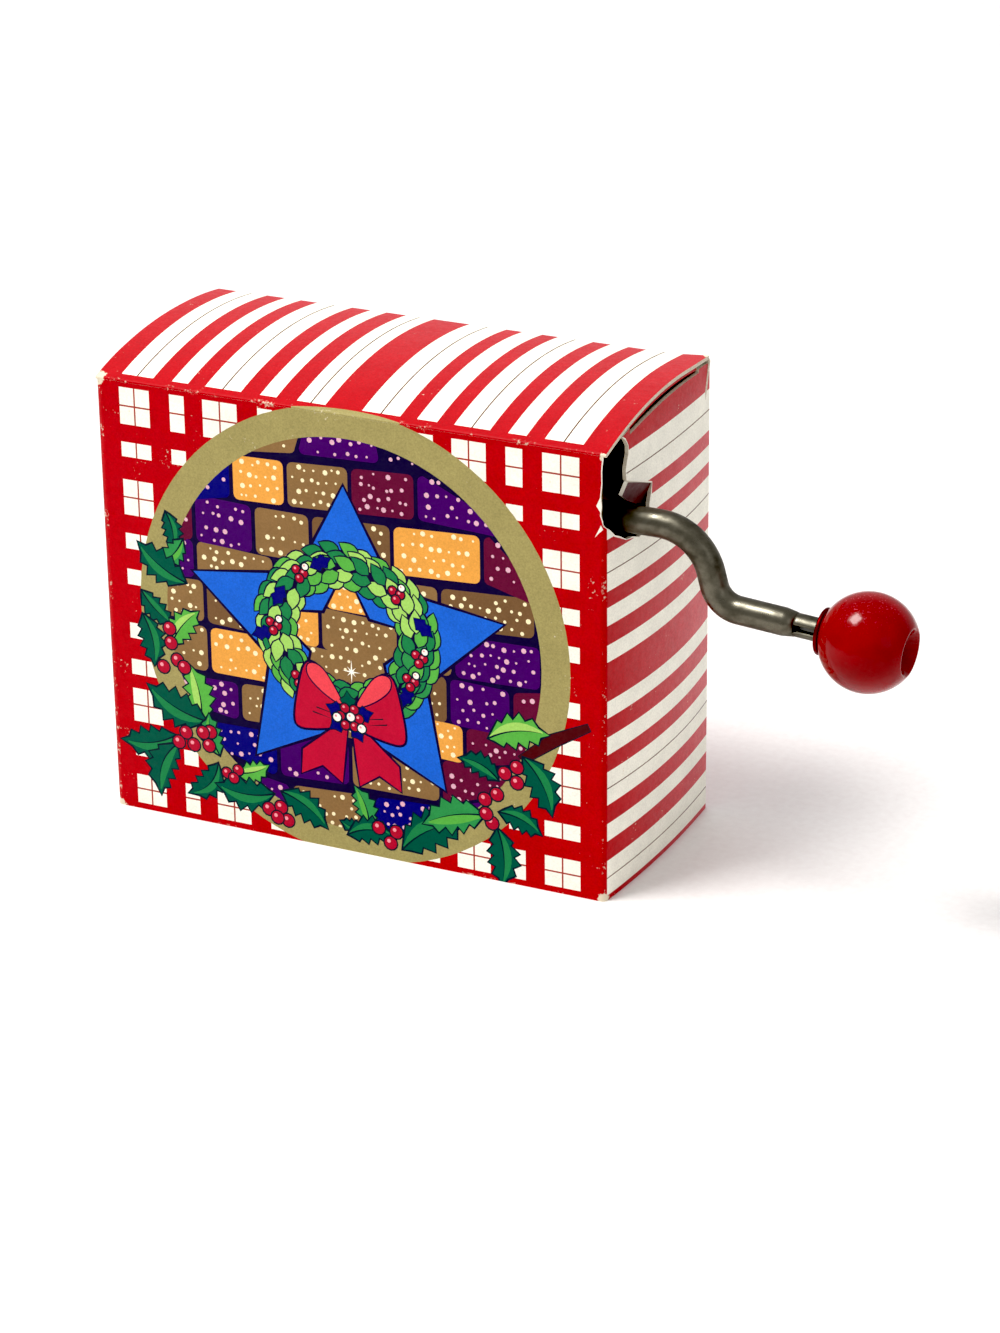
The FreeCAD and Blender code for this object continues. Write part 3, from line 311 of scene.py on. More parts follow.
def lacquer(colour):
    """Red lacquer dipped over a turned bead: glossy, with a slight orange peel and fine pale specks.

    Pale specks show where a fine noise is high, near the bead's top and bottom; they are paler and duller."""
    material, tree, place = start_material("red_lacquer")
    specks = node(tree, "MapRange", {VALUE: grain(tree, place, 0.16, seed=4.0), LOW: 0.6, HIGH: 0.7})
    z = node(tree, "SeparateXYZ", {0: place}, "Z")
    upper = node(tree, "MapRange", {VALUE: z, LOW: (KNOB_HIGH[2] - 2.6) * MM,
                                    HIGH: (KNOB_HIGH[2] - 0.2) * MM, TO_HIGH: 0.5})
    lower = node(tree, "MapRange", {VALUE: z, LOW: (KNOB_LOW[2] + 2.2) * MM, HIGH: KNOB_LOW[2] * MM,
                                    TO_HIGH: 0.5})
    caps = node(tree, "Math", {0: upper, 1: lower}, operation="MAXIMUM")
    # paler, duller specks near the bead's top and bottom
    pale_specks = node(tree, "Math", {0: specks, 1: caps}, operation="MULTIPLY")
    pool = node(tree, "MapRange", {VALUE: grain(tree, place, 3.0), LOW: 0.3, HIGH: 0.7, TO_HIGH: 0.5})
    tone = node(tree, "Mix", {SHARE: pool, FIRST: colour, SECOND: linear("6E0005")}, MIXED,
                data_type="RGBA")
    tone = node(tree, "Mix", {SHARE: pale_specks, FIRST: tone, SECOND: linear("D8506A")}, MIXED, data_type="RGBA")
    rough = node(tree, "Math", {0: pale_specks, 1: 0.5, 2: 0.16}, operation="MULTIPLY_ADD")
    surface(tree, grain(tree, place, 0.9, 3.0), 0.14, 0.12,
            {"Base Color": tone, "Roughness": rough, "IOR": 1.5, "Specular IOR Level": 0.25})
    return material


# ---- meshes -----------------------------------------------------------------------------------------

def add_object(name, points, faces, materials, slots=None, smooth=True):
    """A mesh object from points in millimetres, with one material slot number per face."""
    mesh = bpy.data.meshes.new(name)
    mesh.from_pydata((np.asarray(points) * MM).tolist(), [], [list(face) for face in faces])
    for material in materials:
        mesh.materials.append(material)
    if slots is not None:
        mesh.polygons.foreach_set("material_index", np.asarray(slots, np.int32))
    mesh.polygons.foreach_set("use_smooth", np.full(len(mesh.polygons), smooth))
    mesh.update()
    item = bpy.data.objects.new(name, mesh)
    bpy.context.scene.collection.objects.link(item)
    return item


def grid_faces(rows, columns, wrap=False):
    """Quads of a grid of points, row by row: each joins a point, the next, and the two below them. Wrap
    joins the last column to the first."""
    row = np.arange(rows - 1)[:, None] * columns
    column = np.arange(columns if wrap else columns - 1)[None, :]
    follow = (column + 1) % columns
    quads = np.stack([row + column, row + follow, row + columns + follow, row + columns + column], -1)
    return quads.reshape(-1, 4)


def halves(quads):
    """Each quad as two triangles on its first corner."""
    return np.vstack([quads[:, [0, 1, 2]], quads[:, [0, 2, 3]]])


def run_length(line):
    """Length of a line of points up to each of them: the sum of the steps before it."""
    return np.concatenate([[0], np.cumsum(np.linalg.norm(np.diff(line, axis=0), axis=1))])


def joined(points, faces, more, more_faces):
    """Two meshes as one: the second's faces count on from the first's points."""
    return np.vstack([points, more]), faces + [[index + len(points) for index in face] for face in more_faces]


def frames_along(path):
    """Unit side and up vectors of a path that lies in an upright plane across Y: the side is Y, and up is
    at right angles to it and to the path."""
    tangent = np.gradient(path, axis=0)
    tangent /= np.linalg.norm(tangent, axis=1)[:, None]
    side = np.tile([0.0, 1.0, 0.0], (len(path), 1))
    return side, np.cross(tangent, side)


def sweep(path, outline):
    """Carries a closed outline (side, up) along a path: point = path + side * s + up * t."""
    side, up = frames_along(path)
    outline = np.asarray(outline)
    if outline.ndim == 2:
        outline = np.tile(outline, (len(path), 1, 1))
    points = path[:, None] + side[:, None] * outline[..., :1] + up[:, None] * outline[..., 1:]
    return points.reshape(-1, 3), grid_faces(len(path), outline.shape[1], wrap=True)


def closed_tube(path, outline):
    """A swept outline with a flat cap at both ends."""
    points, quads = sweep(path, outline)
    count = np.asarray(outline).shape[-2]
    last = len(points) - count
    caps = [list(range(count))[::-1], list(range(last, last + count))]
    return points, [list(quad) for quad in quads] + caps


def round_points(turn, radius=1.0):
    """Points at some angles on a circle: radius times their cosine and sine."""
    return radius * np.stack([np.cos(turn), np.sin(turn)], 1)


def circle(radius, count):
    """Points of a whole circle at equal steps, from the right and anticlockwise."""
    return round_points(np.linspace(0, 2 * np.pi, count, endpoint=False), radius)


def turned(profile, origin, way, count=96):
    """A closed profile (along, radius) turned about the line from origin along way: point = origin + way *
    along + (side * cosine + up * sine) * radius."""
    way = way / np.linalg.norm(way)
    side = np.array([0.0, 1.0, 0.0])
    up = np.cross(way, side)
    turn = circle(1.0, count)
    round_way = turn[:, :1] * side + turn[:, 1:] * up
    profile = np.asarray(profile)
    points = origin + profile[:, None, :1] * way + profile[:, None, 1:] * round_way[None]
    rings = np.vstack([points.reshape(-1, 3), points[0]])
    return rings, grid_faces(len(profile) + 1, count, wrap=True)


def mend(item):
    """Merges points closer than a ten-thousandth of a millimetre and turns every face outwards."""
    work = bmesh.new()
    work.from_mesh(item.data)
    bmesh.ops.remove_doubles(work, verts=work.verts, dist=0.0001 * MM)
    bmesh.ops.recalc_face_normals(work, faces=work.faces)
    work.to_mesh(item.data)
    work.free()


def bevel(item, width, segments, angle):
    """Rounds the edges that turn by more than an angle in degrees."""
    step = item.modifiers.new("edges", "BEVEL")
    step.width = width * MM
    step.segments = segments
    step.limit_method = "ANGLE"
    step.angle_limit = math.radians(angle)


# ---- printing ---------------------------------------------------------------------------------------

class Print:
    """Flat artwork: closed outlines in millimetres, each in one ink; a later outline covers earlier ones."""

    def __init__(self):
        self.outlines = []
        self.inks = []

    def add(self, ink_name, *outlines):
        """Adds outlines, turned anticlockwise, on top of what is there."""
        for outline in outlines:
            outline = np.asarray(outline, float)
            self.outlines.append(outline if turned_left(outline) > 0 else outline[::-1])
            self.inks.append(ink_name)

    def outlined(self, ink_name, outline, line="ink_line", width=0.22):
        """An outline in one ink with a darker line round it."""
        self.add(line, grow(outline, width))
        self.add(ink_name, outline)

    def sheet(self, palette):
        """Cuts the artwork into triangles and gives each the slot of the ink on top; no ink is a hole."""
        starts = np.cumsum([0] + [len(outline) for outline in self.outlines])
        points = [Vector(point) for point in np.vstack(self.outlines).tolist()]
        loops = [list(range(a, b)) for a, b in zip(starts[:-1], starts[1:])]
        result = delaunay_2d_cdt(points, [], loops, 1, 1e-4, True)
        spots, triangles, owners = result[0], result[2], result[5]
        kept, slots = [], []
        for triangle, layers in zip(triangles, owners):
            name = self.inks[max(layers)] if layers else None
            if name is not None:
                kept.append(triangle)
                slots.append(palette.index(name))
        used, numbers = np.unique(np.array(kept), return_inverse=True)
        return np.array([tuple(spots[i]) for i in used]), numbers.reshape(-1, 3), slots


def rectangle(x0, x1, z0, z1):
    """The four corners of an upright rectangle, anticlockwise from the lower left."""
    return np.array([(x0, z0), (x1, z0), (x1, z1), (x0, z1)])


def turned_left(outline):
    """Plus one for an outline that runs anticlockwise and minus one for the other way round."""
    x, z = outline[:, 0], outline[:, 1]
    return np.sign(np.sum(x * np.roll(z, -1) - np.roll(x, -1) * z))


def grow(outline, width):
    """Moves an outline outwards: each point goes along the mean of its two edges' normals."""
    outline = np.asarray(outline, float)
    turn = turned_left(outline)
    ahead = np.roll(outline, -1, 0) - outline
    ahead /= np.linalg.norm(ahead, axis=1)[:, None] + 1e-9
    normals = np.stack([ahead[:, 1], -ahead[:, 0]], 1) * turn
    mean = normals + np.roll(normals, 1, 0)
    mean /= np.maximum(np.linalg.norm(mean, axis=1)[:, None], 0.5)
    return outline + mean * width


def place(outline, x, z, angle):
    """Turns an outline by an angle in degrees, then moves it."""
    a = math.radians(angle)
    turn = np.array([(math.cos(a), math.sin(a)), (-math.sin(a), math.cos(a))])
    return np.asarray(outline) @ turn + (x, z)


def disc(x, z, radius, count=12):
    """A many-sided dot."""
    return circle(radius, count) + (x, z)


def on_ellipse(x, z, across, up, angle):
    """A point on an ellipse at an angle in degrees: centre + (across * cosine, up * sine)."""
    turn = math.radians(angle)
    return x + across * math.cos(turn), z + up * math.sin(turn)


def holly_outline(length, width, spikes=4, bow=0.0):
    """A holly leaf along +X: a sine envelope whose sides alternate between hollows and sharp tips, bent
    by a parabola that rises to the bow in the leaf's middle."""
    count = 2 * spikes + 1
    along = np.linspace(0.0, 1.0, count + 2)[1:-1]
    tip = np.arange(count) % 2 == 1
    wave = np.where(tip, 1.15, 0.66)
    lean = np.where(tip, 0.035, 0.0)
    half = width / 2 * np.sin(np.pi * along) ** 0.7 * wave
    upper = np.stack([along + lean, half], 1)
    outline = np.vstack([[(0, 0)], upper * (1, -1), [(1.06, 0)], upper[::-1]])
    outline[:, 1] += bow * 4 * outline[:, 0] * (1 - outline[:, 0])
    return outline * (length, 1)


def half_leaf(length, width, bow):
    """The lit half of a leaf, from its middle vein to near its upper side, a sine envelope over it."""
    along = np.linspace(0.04, 0.96, 9)
    spine = bow * 4 * along * (1 - along)
    upper = spine + width / 2 * np.sin(np.pi * along) ** 0.8 * 0.55
    return np.vstack([np.stack([along, spine], 1), np.stack([along, upper], 1)[::-1]]) * (length, 1)


def vein(length, bow):
    """A leaf's middle vein: a thin band along its bent spine that narrows towards the tip."""
    along = np.linspace(0.0, 0.94, 9)
    spine = bow * 4 * along * (1 - along)
    thick = 0.09 * (1.1 - along)
    return np.vstack([np.stack([along, spine - thick], 1),
                      np.stack([along, spine + thick], 1)[::-1]]) * (length, 1)


def add_holly(art, x, z, angle, length, bow, inks):
    """A holly leaf with its lit half in a second ink, its vein and its outline."""
    width = length * 0.52
    art.outlined(inks[0], place(holly_outline(length, width, bow=bow), x, z, angle))
    art.add(inks[1], place(half_leaf(length, width, bow), x, z, angle))
    art.add("ink_line", place(vein(length, bow), x, z, angle))


def add_berries(art, *spots, radius=0.62, colour="berry"):
    """Round berries, each with a small glint at its upper left."""
    for x, z in spots:
        art.outlined(colour, disc(x, z, radius), width=0.16)
        art.add("berry_light", disc(x - radius * 0.3, z + radius * 0.3, radius * 0.32, 7))


def add_sparkle(art, x, z, reach):
    """A star of light: four thin crossed needles, the upright one longest."""
    for angle, length in ((90, 1.3), (0, 1.0), (45, 0.7), (-45, 0.7)):
        needle = np.array([(-length, 0), (0, -0.09), (length, 0), (0, 0.09)]) * (reach, 1)
        art.add("spark", place(needle, x, z, angle))


# edges of the white columns and rows, and whether a thin line halves each one
COLUMNS = ((2.0, 5.1, True), (7.2, 8.7, False), (10.6, 14.1, True), (16.2, 17.7, False),
           (19.9, 22.6, True), (26.4, 30.0, True), (31.8, 33.6, False), (35.4, 38.7, True),
           (40.6, 42.2, False), (44.1, 47.6, True))
ROWS = ((0.6, 3.5, True), (5.4, 6.9, False), (8.9, 12.2, True), (13.6, 15.1, False),
        (17.2, 18.7, False), (22.5, 24.0, False), (26.0, 27.5, False), (29.3, 32.7, True),
        (34.9, 36.3, False), (38.0, 41.5, True))
SIDE_ROWS = ((0.5, 3.9, True), (5.8, 7.5, False), (9.3, 12.5, True), (14.1, 15.8, False),
             (17.6, 19.2, False), (22.9, 24.5, False), (26.3, 28.0, False), (29.5, 33.0, True),
             (34.3, 35.9, False), (37.3, 41.2, True))
LINE = 0.16              # width of that line
LID_LINE = 0.14          # and of the one on the lid


def add_gingham(art, left, mirrored=False):
    """White panes where the white columns and rows cross; a wide one is halved by a thin line."""
    for x0, x1, wide in COLUMNS:
        if mirrored:
            x0, x1 = WIDTH - x1, WIDTH - x0
        for z0, z1, tall in ROWS:
            art.add("cream", rectangle(left + x0, left + x1, z0, z1))
            if wide:
                middle = left + (x0 + x1) / 2
                art.add("thin_line", rectangle(middle - LINE / 2, middle + LINE / 2, z0, z1))
            if tall:
                middle = (z0 + z1) / 2
                art.add("thin_line", rectangle(left + x0, left + x1, middle - LINE / 2, middle + LINE / 2))


def add_side_stripes(art, left, right):
    """White rows across a side panel; a wide one is halved by a thinner line."""
    for z0, z1, wide in SIDE_ROWS:
        art.add("cream", rectangle(left, right, z0, z1))
        if wide:
            middle = (z0 + z1) / 2
            art.add("side_line", rectangle(left, right, middle - LINE / 3, middle + LINE / 3))


RING_X, RING_Z = 25.0, 21.0      # the round picture's centre, from the front's lower left corner


def inside(outline, reach):
    """Pulls the points of an outline that lie outside a circle about the ring's centre on to it."""
    away = outline - (RING_X, RING_Z)
    far = np.linalg.norm(away, axis=1)[:, None]
    return away * np.minimum(1, reach / np.maximum(far, 1e-6)) + (RING_X, RING_Z)


def brick_outline(x0, x1, z0, z1, corner=0.55):
    """A rectangle with a quarter circle at each corner."""
    quarter = round_points(np.linspace(0, np.pi / 2, 4), corner)
    spots = [(x1 - corner, z1 - corner, 0), (x0 + corner, z1 - corner, 90),
             (x0 + corner, z0 + corner, 180), (x1 - corner, z0 + corner, 270)]
    return np.vstack([place(quarter, x, z, angle) for x, z, angle in spots])


def scatter(chance, wide, height):
    """Spots in a brick: a grid with every other row shifted by half a step, each spot moved a little."""
    rows, columns = 4, max(3, round(wide / 1.15))
    row, column = np.meshgrid(np.arange(rows), np.arange(columns), indexing="ij")
    x = 0.7 + (wide - 1.4) * (column + 0.25 + 0.5 * (row % 2)) / columns
    z = 0.75 + (height - 1.5) * row / (rows - 1)
    spots = np.stack([x, z], -1).reshape(-1, 2) + chance.uniform(-0.24, 0.24, (rows * columns, 2))
    return spots[chance.random(len(spots)) < 0.86]


def sway(x, course):
    """How far a course of bricks bends up or down: half a millimetre times a sine of the place across."""
    return 0.5 * np.sin((x - RING_X) / 9 + course * 0.9)


def add_bricks(art, reach):
    """A patchwork wall in the ring: courses of uneven bricks, dark ones at the rim, with pale dots."""
    chance = np.random.default_rng(24)
    rim = ("maroon", "purple", "maroon", "navy", "purple", "maroon")
    middle = ("tan", "amber", "tan", "brown", "amber", "tan")
    bottom = RING_Z - reach
    heights = (4.3, 4.6, 4.0, 4.8, 4.4, 4.1, 4.9, 4.6, 4.8)
    joint_half = 0.2
    dots = []
    for course, height in enumerate(heights):
        left = RING_X - reach - chance.uniform(0, 5)
        number = 0
        while left < RING_X + reach:
            wide = chance.uniform(5.0, 9.8)
            centre = np.array([left + wide / 2, bottom + height / 2])
            far = np.linalg.norm(centre - (RING_X, RING_Z))
            set_of = rim if far > reach * 0.66 and chance.random() < 0.8 else middle
            colour = set_of[(number + 2 * course) % len(set_of)]
            outline = brick_outline(left + joint_half, left + wide - joint_half,
                                    bottom + joint_half, bottom + height - joint_half)
            outline[:, 1] += sway(outline[:, 0], course)
            if far < reach + 3.5:
                art.add(colour, inside(outline, reach))
                pale = "dot_dim" if colour in ("maroon", "purple", "navy") else "dot"
                for spot in scatter(chance, wide, height):
                    spot = spot + (left, bottom)
                    spot[1] += sway(spot[0], course)
                    if np.linalg.norm(spot - (RING_X, RING_Z)) < reach - 0.4:
                        dots.append((pale, disc(*spot, chance.choice((0.12, 0.16, 0.2, 0.26)), 7)))
            left += wide
            number += 1
        bottom += height
    for colour, outline in dots:
        art.add(colour, outline)


def add_star(art, x, z):
    """A hollow five-pointed star: ten mitred bars between a large star and a small one."""
    way = round_points(np.radians(90 + 36 * np.arange(10)))
    tip, notch, wider = 15.2, 7.6, 1.08
    reach = way * np.where(np.arange(10) % 2 == 0, tip, notch)[:, None] * (wider, 1.0)
    outer, inner = reach + (x, z), reach / 2 + (x, z)
    for colour, out, into in (("outline", grow(outer, 0.4), grow(inner, -0.35)), ("star", outer, inner)):
        for a in range(10):
            art.add(colour, [out[a - 1], out[a], into[a], into[a - 1]])
    add_sparkle(art, x + 0.4, z - 2.4, 0.9)


def leaf_outline(length, width):
    """A plain leaf along +X: a sine envelope that peaks before its middle, so that the tip is long."""
    along = np.linspace(0, 1, 6)
    half = width / 2 * np.sin(np.pi * along ** 0.8)
    return np.vstack([np.stack([along, -half], 1), np.stack([along, half], 1)[1:-1][::-1]]) * (length, 1)


def add_wreath(art, x, z):
    """Five rows of overlapping leaves round an ellipse, on a dark band, with leaves and berries on top."""
    chance = np.random.default_rng(7)
    around = circle(1.0, 48)
    outer, inner = around * (8.8, 8.2) + (x, z), around * (5.7, 5.1) + (x, z)
    first, last = np.array([8.5, 7.9]), np.array([5.9, 5.3])         # half axes of the rows' ellipses
    for a, b in zip(range(48), list(range(1, 48)) + [0]):
        art.add("outline", [outer[a], outer[b], inner[b], inner[a]])
    greens = ("leaf_mid", "leaf_light", "leaf_pale", "leaf_mid", "leaf_green", "leaf_light")
    for row, (share, count) in enumerate(((0.02, 31), (0.98, 22), (0.26, 29), (0.74, 24), (0.5, 26))):
        radius = first * (1 - share) + last * share
        for number in range(count):
            angle = 2 * math.pi * (number + 0.5 * row) / count + chance.uniform(-0.03, 0.03)
            lit = 0.5 + 0.5 * math.sin(angle - 0.2)
            green = greens[int(chance.integers(0, 3)) + (0 if lit > 0.5 or chance.random() < 0.4 else 3)]
            spot = (x + radius[0] * math.cos(angle), z + radius[1] * math.sin(angle))
            heading = math.degrees(angle) + 90 + (20 if row % 2 else -14) + chance.uniform(-9, 9)
            outline = place(leaf_outline(2.2, 1.25), *spot, heading)
            art.add("outline", grow(outline, 0.15))
            art.add(green, outline)
    for angle, heading in ((118, 30), (146, 240), (25, 320), (328, 250), (186, 200)):
        spot = on_ellipse(x, z, 7.5, 6.8, angle)
        art.outlined("navy", place(holly_outline(2.3, 1.3, 2), *spot, heading), width=0.1)
    for angle in (128, 46, 352, 330, 182, 228):
        cx, cz = on_ellipse(x, z, 7.4, 6.7, angle)
        add_berries(art, (cx - 0.4, cz + 0.3), (cx + 0.35, cz + 0.05), (cx - 0.1, cz - 0.5), radius=0.4)
        add_berries(art, (cx + 0.5, cz + 0.7), radius=0.3, colour="cream")


def rounded(outline, rounds=2):
    """Cuts an outline's corners: each side keeps the points at a quarter and three quarters of it."""
    for _ in range(rounds):
        ahead = np.roll(outline, -1, 0)
        outline = np.stack([0.75 * outline + 0.25 * ahead, 0.25 * outline + 0.75 * ahead], 1).reshape(-1, 2)
    return outline


def add_bow(art, x, z):
    """A red bow: two tails, two loops with lighter insides, and a cluster of berries on the knot."""
    for side in (-1, 1):
        tail = np.array([(0.2, -0.6), (1.8, -1.4), (4.9, -4.0), (5.1, -6.4), (2.9, -5.2),
                         (0.9, -6.6), (0.6, -4.0)]) * (side, 1)
        art.outlined("bow", tail + (x, z), line="outline", width=0.24)
        loop = np.array([(0.0, 0.0), (1.0, 1.6), (2.9, 4.5), (4.4, 4.9), (5.1, 2.4), (5.7, -0.8),
                         (5.4, -1.9), (3.4, -1.7), (1.0, -1.1)]) * (side, 1)
        art.outlined("bow", rounded(loop) + (x, z), line="outline", width=0.24)
        fold = np.array([(0.5, 0.9), (1.4, 2.6), (2.8, 4.6), (4.2, 4.7), (4.3, 3.4), (2.6, 1.9)]) * (side, 1)
        art.outlined("bow_light", rounded(fold) + (x, z), line="outline", width=0.14)
        for start in ((1.2, 0.0), (1.6, -0.5)):
            crease = np.array([(0, 0), (2.2, 0.35), (2.2, 0.5)]) + start
            art.add("ink_line", crease * (side, 1) + (x, z))
    for angle in (20, 95, 160, 215, 300):
        leaf = place(holly_outline(2.4, 1.5, 2), x, z, angle)
        art.outlined("navy" if angle != 95 else "leaf_dark", leaf, width=0.12)
    add_berries(art, *[on_ellipse(x, z, 0.95, 0.95, angle) for angle in range(0, 360, 60)], radius=0.42)
    add_berries(art, (x + 0.1, z + 0.05), (x + 1.2, z - 0.9), (x - 1.3, z - 0.2), radius=0.4, colour="cream")


def add_holly_sprigs(art):
    """Holly along the left and lower rim of the ring, and a bare twig at the right."""
    dark, mid, light = ("leaf_dark", "leaf_mid"), ("leaf_green", "leaf_light"), ("leaf_light", "leaf_pale")
    twig = [(41.6, 12.6), (44.6, 15.2), (48.3, 16.9), (48.6, 16.3), (45.4, 14.3), (42.3, 12.1)]
    art.outlined("twig", twig, width=0.12)
    leaves = (
        # place, heading in degrees, length, bow and inks
        (6.3, 30.2, 282, 3.4, 0.3, dark), (8.0, 27.8, 228, 3.6, 0.3, mid), (8.2, 23.6, 148, 5.6, 0.4, dark),
        (3.4, 22.1, 318, 4.0, -0.3, dark), (3.4, 19.8, 283, 4.8, 0.4, dark), (6.3, 17.2, 52, 4.6, 0.3, light),
        (9.2, 10.0, 100, 5.4, -0.4, light), (9.8, 10.2, 158, 6.4, 0.5, dark), (6.4, 8.2, 195, 5.6, 0.5, dark),
        (6.6, 7.4, 248, 5.6, -0.8, dark), (11.0, 7.0, 105, 3.9, 0.3, mid), (12.6, 5.6, 20, 3.6, -0.3, light),
        (10.8, 6.2, 230, 4.6, 0.7, dark), (16.6, 4.2, 182, 5.8, 0.5, dark), (17.4, 4.6, 330, 5.2, 0.4, dark),
        (26.2, 2.4, 172, 2.6, 0.2, dark), (26.4, 2.6, 108, 4.0, -0.4, mid), (24.2, 1.6, 10, 4.6, 0.5, dark),
        (29.8, 1.2, 32, 7.0, 0.6, dark), (38.2, 6.2, 197, 6.2, -0.4, mid), (39.6, 6.8, 342, 4.2, 0.4, dark),
        (39.4, 5.2, 275, 5.4, 0.4, dark), (39.6, 9.9, 158, 4.0, -0.5, dark),
        (42.0, 12.6, 300, 5.6, 0.5, dark), (38.6, 13.8, 14, 5.8, 0.5, light))
    for leaf in leaves:
        add_holly(art, *leaf)
    add_berries(art, (6.2, 18.8), (6.3, 17.4), (6.9, 15.8), (7.6, 15.2), (5.4, 14.9))
    add_berries(art, (6.7, 7.6), (7.5, 8.7), (8.3, 7.6), (9.9, 7.8), (10.1, 9.2), (9.3, 9.0))
    add_berries(art, (11.7, 5.4), (12.9, 5.9), (12.4, 5.0), radius=0.5)
    add_berries(art, (16.0, 2.6), (17.3, 3.0), (18.0, 1.8), (16.9, 1.9))
    add_berries(art, (27.4, 2.9), (28.6, 1.6), (29.2, 2.8))
    add_berries(art, (40.2, 10.7), (41.4, 11.5), (41.4, 10.0), (39.4, 8.5), (38.2, 7.8), (38.9, 5.6),
                (38.3, 6.4))


def add_picture(art, ring, ring_width):
    """The round picture on the front: wall, star, wreath and bow inside a plain ring."""
    way = round_points(np.linspace(0, 2 * np.pi, 97))
    inner = ring - ring_width
    art.add("outline", way[:-1] * (inner + 0.6) + (RING_X, RING_Z))
    add_bricks(art, inner + 0.4)
    add_star(art, 24.6, 20.2)
    for a, b in zip(way[:-1], way[1:]):
        art.add("gold", np.array([a * ring, b * ring, b * inner, a * inner]) + (RING_X, RING_Z))
    add_wreath(art, 24.6, 21.2)
    add_bow(art, 24.7, 13.3)
    add_holly_sprigs(art)


# ---- carton -----------------------------------------------------------------------------------------

def lid_curve(y, crown):
    """Height of the lid's upper face: a circle's arc through its two folds that rises by the crown."""
    a = np.array([HINGE[1], HINGE[2] + BOARD / 2])
    b = np.array([LID_HIGH[1], LID_REAR])
    chord = np.linalg.norm(b - a)
    radius = (chord ** 2 / 4 + crown ** 2) / (2 * crown)
    normal = np.array([a[1] - b[1], b[0] - a[0]]) / chord
    centre = (a + b) / 2 - normal * (radius - crown)
    return centre[1] + np.sqrt(radius ** 2 - (y - centre[0]) ** 2)


def bow_out(z):
    """How far a side panel stands proud at a height: a parabola through its floor, middle and top."""
    levels = np.array([0.0, FRONT_HIGH[2] / 2, LID_REAR])
    fit = np.polyfit(levels, np.array([0.5, 1.0, 0.2]) * BULGE, 2)
    return np.polyval(fit, z)


def flap_axis(y):
    """Height of a dust flap's hinge line, which is straight, at a depth."""
    return FLAP_HINGE[2] + (y - FLAP_HINGE[1]) * FLAP_WAY[2] / FLAP_WAY[1]


def flap_proud(y, crown):
    """How far a dust flap's fold stands out with the bowed side panel: the bow just under the lid."""
    return bow_out(lid_curve(y, crown) - BOARD) * np.clip(1 - (2 * y / DEPTH) ** 2, 0, 1)


def sleeve_point(u, z, corner):
    """Wraps the flat print round the carton.

    u runs along the front, the right side, the back and the left side, and on round. Along a side the
    point is straight between two corners; within a corner's radius it lies on a quarter circle; a side
    panel adds its bow times one minus the square of the distance from its middle, and the front left
    corner is pushed out a little, by the square of the nearness to it."""
    ends = np.cumsum([0, WIDTH, DEPTH, WIDTH, DEPTH])
    u = np.mod(u, ends[-1])
    x = np.interp(u, ends, np.array([-1, 1, 1, -1, -1]) * WIDTH / 2)
    y = np.interp(u, ends, np.array([-1, -1, 1, 1, -1]) * DEPTH / 2)
    for number, end in enumerate(ends):
        near = np.abs(u - end) < corner
        angle = np.radians(number * 90 - 180 + 45 + 45 * (u - end) / corner)
        cx = np.interp(end, ends, np.array([-1, 1, 1, -1, -1])) * (WIDTH / 2 - corner)
        cy = np.interp(end, ends, np.array([-1, -1, 1, 1, -1])) * (DEPTH / 2 - corner)
        x = np.where(near, cx + corner * np.cos(angle), x)
        y = np.where(near, cy + corner * np.sin(angle), y)
    side = ((u > ends[1]) & (u < ends[2])) | (u > ends[3])
    out = np.where(side, bow_out(z) * np.clip(1 - (y / (DEPTH / 2)) ** 2, 0, 1), 0)
    away = np.where(u < WIDTH, u / 2, (ends[-1] - u) / 10)
    worn = (0.22 + 0.2 * z / BACK_TOP) * np.clip(1 - away, 0, 1) ** 2
    return np.stack([x + np.sign(x) * out - worn, y, z], 1)


def cells(across, along, art, ink_name):
    """A net of cells under the artwork, so that it can bend."""
    for x0, x1 in zip(across[:-1], across[1:]):
        for z0, z1 in zip(along[:-1], along[1:]):
            art.add(ink_name, rectangle(x0, x1, z0, z1))


def board_shell(outer, inner, faces, slots, raw_slot):
    """Gives a printed sheet its thickness: the sheet, the same sheet turned round as the inside, and a
    strip along each free edge. Points that coincide become one, and faces without area are dropped."""
    faces, slots = np.asarray(faces), np.asarray(slots)
    sheets = []
    for points in (outer, inner):
        _, first, again = np.unique(np.round(points, 4), axis=0, return_index=True, return_inverse=True)
        sheets.append((points[first], again.reshape(-1)))
    (top, top_of), (low, low_of) = sheets
    low_of = low_of + len(top)
    joined = top_of[faces]
    sides = np.concatenate([faces[:, [0, 1]], faces[:, [1, 2]], faces[:, [2, 0]]])
    ends = np.sort(top_of[sides], 1)
    _, again, count = np.unique(ends, axis=0, return_inverse=True, return_counts=True)
    free = sides[count[again.reshape(-1)] == 1]
    strip = np.stack([top_of[free[:, 1]], top_of[free[:, 0]], low_of[free[:, 0]], low_of[free[:, 1]]], 1)
    made = [list(face) for face in joined.tolist()]
    marks = slots.tolist()
    for face in low_of[faces][:, ::-1].tolist() + strip.tolist():
        face = list(dict.fromkeys(face))
        if len(face) > 2:
            made.append(face)
            marks.append(raw_slot)
    return np.vstack([top, low]), made, marks


